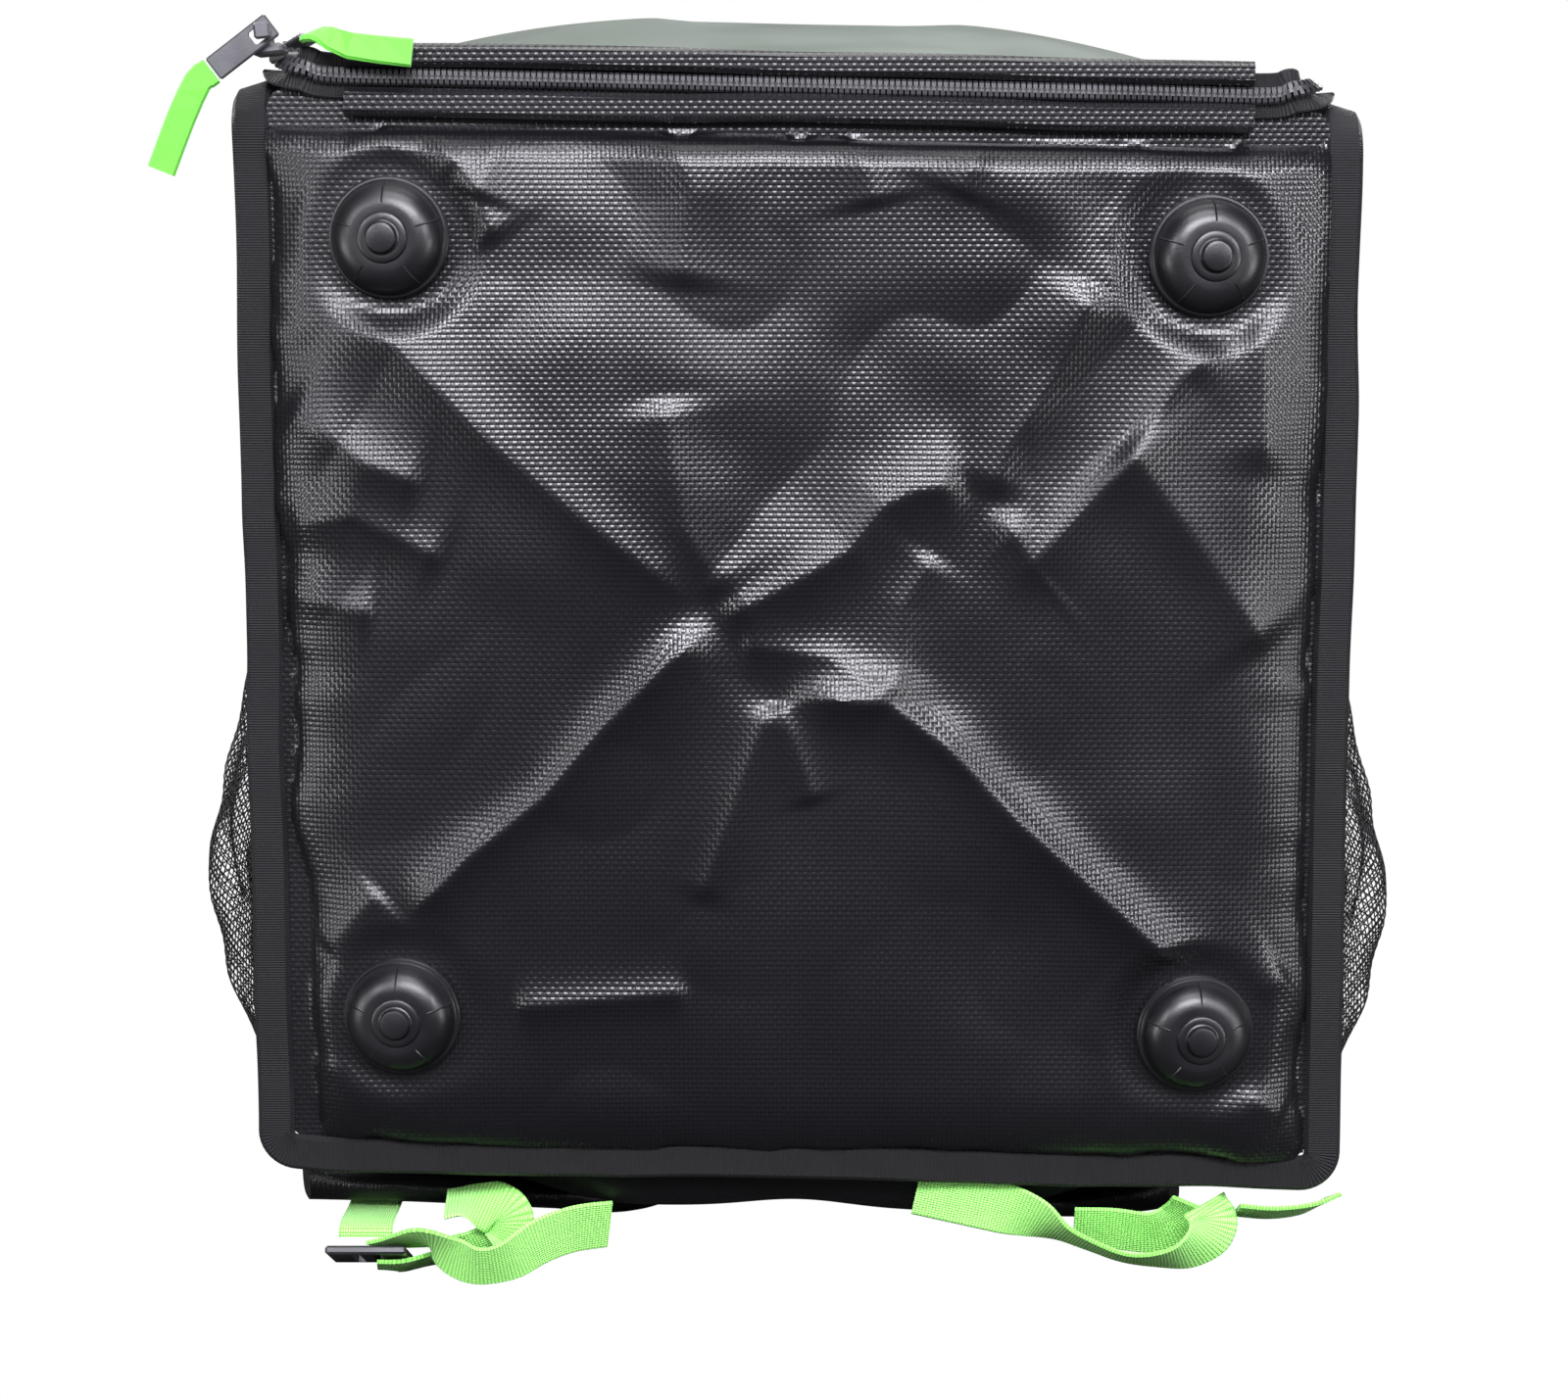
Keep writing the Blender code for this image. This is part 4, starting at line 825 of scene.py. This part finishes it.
def zip_line():
    x = HALF - ZIP_INSET
    above = FRONT + GAP + ZIP_THICK / 2
    front = SEAM - GAP - ZIP_THICK / 2
    far = TOP - WALL - ZIP_WIDTH
    corner = ZIP_WIDTH * 0.9
    rise = FRONT + ZIP_ABOVE
    rows = []
    for k in range(7):
        rows.append((-x, far + (SEAM + corner * 1.5 - far) * k / 6, above, 1, 0, 0))
    rows.append((-x + 0.0005, SEAM + corner * 0.7, above + 0.0008, 0.95, 0, 0.1))
    rows.append((-x + 0.003, SEAM + corner * 0.15, above + 0.0008, 0.75, 0.1, 0.6))
    rows.append((-x + 0.009, front - 0.0008, rise + 0.002, 0.3, 0.1, 0.95))
    rows.append((-x + 0.018, front, rise, 0, 0, 1))
    for k in range(1, 4):
        rows.append((-(x - 0.018) * (1 - k / 4), front, rise, 0, 0, 1))
    half = list(rows)
    rows.append((0, front, rise, 0, 0, 1))
    for px, py, pz, wx, wy, wz in reversed(half):
        rows.append((-px, py, pz, -wx, wy, wz))
    fine = through(rows, 16 * len(rows))
    return place(fine[:, :3]), unit(fine[:, 3:])


def build_zip():
    points, widths = zip_line()
    obj = band("zip_tape_cloth", points, widths, ZIP_WIDTH, ZIP_THICK, TAPE)
    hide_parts("zip_tape")

    along = unit(np.gradient(points, axis=0))
    normal = unit(np.cross(along, widths))
    turned_by = np.minimum(np.abs(widths[:, 0]), np.abs(widths[:, 2]))
    lift = ZIP_THICK / 2 + CHAIN_GAP + CHAIN_THICK / 2 + CHAIN_GAP * 2 * turned_by
    line = points + normal * lift[:, None]
    distance = np.concatenate(([0.0], np.cumsum(np.linalg.norm(np.diff(line, axis=0), axis=1))))
    pitch = 0.0021
    stations = np.arange(0.002, distance[-1] - 0.002, pitch)

    def at(values, where):
        return np.stack([np.interp(where, distance, values[:, k]) for k in range(3)], axis=1)

    verts, faces = [], []
    for shift, sign in ((0.0, -1), (pitch / 2, 1)):
        spots = stations + shift
        c, w = at(line, spots), unit(at(widths, spots))
        n, a = unit(at(normal, spots)), unit(at(along, spots))
        reach, thin, tall = CHAIN_WIDTH / 2 * 0.98, pitch * 0.36, CHAIN_THICK / 2
        for i in range(len(spots)):
            base = len(verts)
            for s, t in ((0.25, 1.0), (-0.75, 0.75), (-1.0, 0.0), (-0.75, -0.75), (0.25, -0.6)):
                for k in (-1, 1):
                    verts.append(c[i] + w[i] * reach * s * -sign + n[i] * tall * t + a[i] * thin * k)
            for k in range(5):
                m = (k + 1) % 5
                faces.append((base + 2 * k, base + 2 * m, base + 2 * m + 1, base + 2 * k + 1))
            faces.append(tuple(base + 2 * k for k in range(5)))
            faces.append(tuple(base + 2 * k + 1 for k in reversed(range(5))))
    obj = add_mesh("zip_teeth", verts, faces, PLASTIC, smooth_angle=30)
    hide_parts("zip_chain")

    middle = FRONT + ZIP_ABOVE
    clear = CHAIN_WIDTH / 2 + GAP
    forward = SEAM - ZIP_THICK - 2 * GAP - WELT_THICK / 2
    xs = np.linspace(-WELT_REACH, WELT_REACH, 160)
    for name, offset, width, seed in (
        ("lower", -clear - WELT_WIDTH / 2, WELT_WIDTH, 61),
        ("upper", clear + WELT_WIDTH * 0.42, WELT_WIDTH * 0.84, 62),
    ):
        zs = middle + offset + noise(xs, xs * 0, 0.05, seed) * 0.0006
        path = place(np.stack((xs, np.full_like(xs, forward), zs), axis=1))
        upright = [(0, 0, 1)] * len(xs)
        obj = band("zip_welt_cloth_" + name, path, upright, width, WELT_THICK, UNDERSIDE, sides=12)
        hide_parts("zip_welt_" + name)


# Route of each run of webbing under the bag: share of HALF across, share of RIDE_HEIGHT behind the
# underside's seam, share of the room upward, and the direction of its width.
WEB_ROUTES = {
    "strap_webbing_left": [
        (-0.840, 0.185, 0.240, 0.00, -0.90, 0.42),
        (-0.787, 0.140, 0.280, 0.00, -0.87, 0.49),
        (-0.734, 0.040, 0.315, 0.20, -0.80, 0.55),
        (-0.680, -0.010, 0.222, 0.45, -0.50, 0.74),
        (-0.628, -0.055, 0.174, 0.10, -0.50, 0.86),
        (-0.570, -0.020, 0.205, -0.35, -0.50, 0.79),
        (-0.510, 0.090, 0.303, -0.30, -0.35, 0.89),
        (-0.447, 0.200, 0.353, -0.05, -0.25, 0.97),
        (-0.378, 0.315, 0.355, 0.15, -0.20, 0.97),
    ],
    "webbing_tail_left": [
        (-0.700, 0.190, 0.520, 0.25, 0.90, 0.30),
        (-0.655, 0.185, 0.545, 0.55, 0.75, 0.30),
        (-0.617, 0.165, 0.525, 0.80, 0.45, 0.40),
        (-0.580, 0.165, 0.443, 0.80, 0.10, 0.55),
        (-0.590, 0.160, 0.270, 0.60, -0.10, 0.76),
        (-0.649, 0.220, 0.172, 0.15, -0.45, 0.88),
        (-0.718, 0.380, 0.100, 0.00, -0.87, 0.48),
        (-0.787, 0.240, 0.090, 0.00, -0.89, 0.45),
        (-0.840, 0.213, 0.098, 0.00, -0.90, 0.42),
    ],
    "webbing_loop_left": [
        (-0.858, 0.800, 0.385, 1.00, 0.00, 0.00),
        (-0.858, 0.500, 0.385, 1.00, 0.00, 0.00),
        (-0.858, 0.250, 0.395, 1.00, 0.00, 0.00),
        (-0.858, 0.125, 0.370, 1.00, 0.00, 0.00),
        (-0.858, 0.105, 0.318, 1.00, 0.00, 0.00),
    ],
    "strap_webbing_right": [
        (0.235, 0.124, 0.690, 0.15, 0.00, 0.99),
        (0.320, 0.110, 0.630, 0.15, 0.00, 0.99),
        (0.400, 0.095, 0.570, 0.10, -0.05, 0.99),
        (0.468, 0.090, 0.495, 0.30, -0.45, 0.85),
        (0.521, 0.074, 0.400, 0.35, -0.85, 0.40),
        (0.585, 0.046, 0.303, 0.30, -0.90, 0.30),
        (0.644, 0.018, 0.234, 0.10, -0.92, 0.40),
        (0.702, -0.009, 0.226, -0.10, -0.85, 0.50),
        (0.761, -0.028, 0.266, -0.45, -0.65, 0.60),
        (0.803, -0.018, 0.376, -0.75, -0.40, 0.50),
        (0.819, 0.040, 0.515, -0.88, -0.05, 0.47),
        (0.803, 0.090, 0.620, -0.90, 0.00, 0.42),
    ],
    "webbing_inner_right": [
        (0.553, 0.350, 0.350, 0.00, -0.45, 0.89),
        (0.628, 0.330, 0.345, 0.10, -0.40, 0.90),
        (0.702, 0.290, 0.330, 0.05, -0.40, 0.90),
        (0.755, 0.270, 0.390, -0.45, -0.20, 0.86),
        (0.780, 0.190, 0.500, -0.80, -0.10, 0.60),
        (0.790, 0.112, 0.590, -0.90, 0.00, 0.42),
    ],
    "webbing_tail_right": [
        (0.8695, 0.130, 0.560, 0.00, -0.88, 0.45),
        (0.940, 0.125, 0.545, 0.00, -0.88, 0.45),
        (1.010, 0.145, 0.575, 0.15, -0.87, 0.45),
        (1.065, 0.200, 0.650, 0.35, -0.80, 0.45),
    ],
}


def build_webbing():
    for name, rows in WEB_ROUTES.items():
        count = 4 * len(rows) - 3
        coarse = through(rows, count)
        x = coarse[:, 0] * HALF
        z = coarse[:, 2] * (RIDE_HEIGHT - SLUMP * x)
        path = np.stack((x, SEAM + coarse[:, 1] * RIDE_HEIGHT, z), axis=1)
        fine = through(np.concatenate((path, unit(coarse[:, 3:])), axis=1), 6 * count)
        obj = band(name + "_cloth", fine[:, :3], fine[:, 3:], WEB_WIDTH, WEB_THICK, GREEN, sides=12)
        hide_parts(name)


def build_pads():
    for name, rows in (("left", PAD_LEFT), ("right", PAD_RIGHT)):
        fine = through(rows, 160)
        x, y = fine[:, 0] * HALF, SEAM + fine[:, 1] * HEIGHT
        room = RIDE_HEIGHT - SLUMP * x - back_depth(x, y) - 2 * GAP - PAD_THICK
        z = PAD_THICK / 2 + np.clip(fine[:, 2], 0, 1) * room
        centres = np.stack((x, y, z), axis=1)
        along = unit(np.gradient(centres, axis=0))
        side = unit(np.cross(along, np.array((0, 0, 1.0))))
        up = np.cross(side, along)
        verts, faces = [], []
        ring = 28
        half = PAD_WIDTH * np.clip(fine[:, 3], 0.05, 1.0) / 2
        for k in range(ring):
            angle = 2 * math.pi * k / ring
            c, s = math.cos(angle), math.sin(angle)
            across = math.copysign(abs(c) ** 0.55, c)
            height = math.copysign(abs(s) ** 0.85, s) * PAD_THICK / 2
            verts.append(centres + side * (half * across)[:, None] + up * height)
        verts = np.stack(verts, axis=1).reshape(-1, 3)
        for i in range(159):
            for k in range(ring):
                m = (k + 1) % ring
                faces.append((i * ring + k, i * ring + m, (i + 1) * ring + m, (i + 1) * ring + k))
        faces.append(tuple(range(ring)))
        faces.append(tuple(159 * ring + k for k in reversed(range(ring))))
        obj = add_mesh("strap_pad_cover_" + name, verts, faces, PADDED)
        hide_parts("strap_pad_" + name)


def pocket_surface(u, v):
    z = RIDE_HEIGHT + POCKET_LOW + (POCKET_HIGH - POCKET_LOW) * u
    y = SEAM + WALL + 0.004 + POCKET_LENGTH * v
    inside = (u > 0) & (u < 1)
    sag = np.where(inside, np.sin(math.pi * np.clip(u, 1e-6, 1) ** 0.80), 0.0)
    sag = np.clip(sag, 0, 1) ** 0.55
    belly = 0.55 + 0.45 * np.exp(-(((u - 0.34) / 0.26) ** 2))
    rise = smooth(0.0, 0.16, v) * (1 - 0.42 * smooth(0.55, 1.0, v))
    uneven = 1 + 0.16 * noise(z, y, 0.042, 71) + 0.07 * noise(z, y, 0.017, 72)
    side = HALF + SIDE_PUFF + GAP + POCKET_DROOP * sag * belly * rise * uneven + POCKET_THICK / 2
    return np.stack((side, y, z), axis=-1)


def build_pockets():
    cell, wide, deep = NET_CELL, NET_WIDE, NET_DEEP
    length_u, length_v = 0.235, POCKET_LENGTH
    for name, sign in (("left", -1), ("right", 1)):
        flip = np.array((sign, 1.0, 1.0))
        verts, faces = [], []
        start = 0
        for slope in (-1, 1):
            reach = length_u + length_v
            for offset in np.arange(-reach, reach, cell * math.sqrt(2)):
                a = np.arange(0.0, length_v + 1e-9, cell / math.sqrt(2))
                b = offset + slope * a
                keep = (b > 0) & (b < length_u)
                if keep.sum() < 2:
                    continue
                u, v = b[keep] / length_u, a[keep] / length_v
                line = place(pocket_surface(u, v) * flip)
                ahead = place(pocket_surface(np.clip(u + 0.002, 0, 0.9999), v) * flip)
                over = place(pocket_surface(u, np.clip(v + 0.002, 0, 1)) * flip)
                normal = unit(np.cross(over - line, ahead - line))
                outward = np.sign(normal[:, :1] * sign)
                normal = normal * np.where(outward == 0, 1, outward)
                along = unit(np.gradient(line, axis=0))
                side = unit(np.cross(normal, along))
                n = len(line)
                half = side * wide / 2
                ring = np.stack((line - half, line + half, line + normal * deep), axis=1)
                verts.append(ring.reshape(-1, 3))
                for i in range(n - 1):
                    p, q = start + 3 * i, start + 3 * i + 3
                    for k in range(3):
                        m = (k + 1) % 3
                        faces.append((p + k, p + m, q + m, q + k))
                faces.append((start, start + 2, start + 1))
                faces.append((start + 3 * n - 3, start + 3 * n - 2, start + 3 * n - 1))
                start += 3 * n
        obj = add_mesh("pocket_net_" + name, np.concatenate(verts), faces, MESH_CLOTH, smooth_angle=0)
        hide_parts("mesh_pocket_" + name)

        u = np.linspace(0.02, 0.98, 60)
        edge = pocket_surface(u, np.ones_like(u)) * flip
        edge[:, 1] += GAP + HEM_WIDTH / 2
        obj = band("pocket_hem_tape_" + name, place(edge), [(0, 1, 0)] * 60, HEM_WIDTH, HEM_THICK, TAPE)
        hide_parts("pocket_hem_" + name)


def dress_hardware():
    for name, finish in (
        ("slider_left", METAL),
        ("slider_right", METAL),
        ("pull_left", METAL),
        ("pull_right", METAL),
        ("strap_buckle_left", PLASTIC),
        ("tab_left", GREEN),
        ("tab_right", GREEN),
    ):
        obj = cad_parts[name]
        for slot in obj.material_slots:
            slot.material = finish


def build_stage():
    scene = bpy.context.scene
    mesh = bpy.data.meshes.new("floor")
    size = 6.0
    corners = [(-size, -size, 0), (size, -size, 0), (size, size, 0), (-size, size, 0)]
    mesh.from_pydata(corners, [], [(0, 1, 2, 3)])
    floor = bpy.data.objects.new("floor", mesh)
    pale, nodes, links, surface = shader("pale_floor", (0.035, 0.035, 0.035), 0.9, specular=0.1)
    seen = nodes.new("ShaderNodeLightPath")
    glow = nodes.new("ShaderNodeEmission")
    glow.inputs["Strength"].default_value = 1.0
    mixed = nodes.new("ShaderNodeMixShader")
    links.new(seen.outputs["Is Camera Ray"], mixed.inputs["Fac"])
    links.new(surface.outputs[0], mixed.inputs[1])
    links.new(glow.outputs[0], mixed.inputs[2])
    links.new(mixed.outputs[0], nodes["Material Output"].inputs["Surface"])
    mesh.materials.append(pale)
    collection.objects.link(floor)

    camera = bpy.data.cameras.new("camera")
    camera.sensor_width = SENSOR
    camera.sensor_fit = "HORIZONTAL"
    camera.lens = FOCAL
    eye = bpy.data.objects.new("camera", camera)
    eye.location = CAMERA_AT
    eye.rotation_euler = (math.radians(CAMERA_TILT), 0, 0)
    collection.objects.link(eye)
    scene.camera = eye

    world = bpy.data.worlds.new("studio")
    scene.world = world
    world.use_nodes = True
    nodes, links = world.node_tree.nodes, world.node_tree.links
    back = nodes["Background"]
    back.inputs["Color"].default_value = (1, 1, 1, 1)
    seen = nodes.new("ShaderNodeLightPath")
    level = math_node(nodes, links, "MULTIPLY_ADD", seen.outputs["Is Camera Ray"], 0.95, 0.05)
    links.new(level, back.inputs["Strength"])
    scene.view_settings.view_transform = "Standard"

    def area(name, location, target, size, power, colour=(1, 1, 1)):
        lamp = bpy.data.lights.new(name, "AREA")
        lamp.shape = "RECTANGLE"
        lamp.size, lamp.size_y = size
        lamp.energy = power
        lamp.color = colour
        obj = bpy.data.objects.new(name, lamp)
        obj.location = location
        aim = Vector(target) - Vector(location)
        obj.rotation_euler = aim.to_track_quat("-Z", "Y").to_euler()
        collection.objects.link(obj)

    cool = (0.94, 0.93, 1.0)
    area("softbox_top", (0.15, -1.9, 1.45), (0, -0.2, 0.30), (1.5, 0.50), 96, cool)
    area("softbox_high", (0.0, -1.0, 2.00), (0, -0.1, 0.40), (1.2, 0.4), 22, cool)
    area("softbox_door", (0.0, 0.4, 1.90), (0, 0.0, 0.40), (1.4, 1.0), 22)
    area("softbox_left", (-1.30, -1.65, 0.95), (0, -0.2, 0.20), (0.40, 0.40), 16, cool)
    area("softbox_right", (1.38, -1.60, 0.88), (0, -0.2, 0.20), (0.40, 0.40), 20, cool)
    area("rear_left", (-1.8, 1.6, 1.5), (0, 0.1, 0.25), (0.8, 0.8), 40)
    area("rear_right", (1.6, 1.9, 1.3), (0, 0.1, 0.25), (0.8, 0.8), 40)
    area("fill_left", (-1.4, -0.9, 0.16), (-0.05, -0.2, 0.05), (0.5, 0.2), 7)
    area("fill_right", (1.4, -0.9, 0.16), (0.05, -0.2, 0.05), (0.5, 0.2), 7)


build_stage()
build_underside()
build_walls()
build_back()
build_door()
build_bindings()
build_feet()
build_zip()
build_webbing()
build_pads()
build_pockets()
dress_hardware()
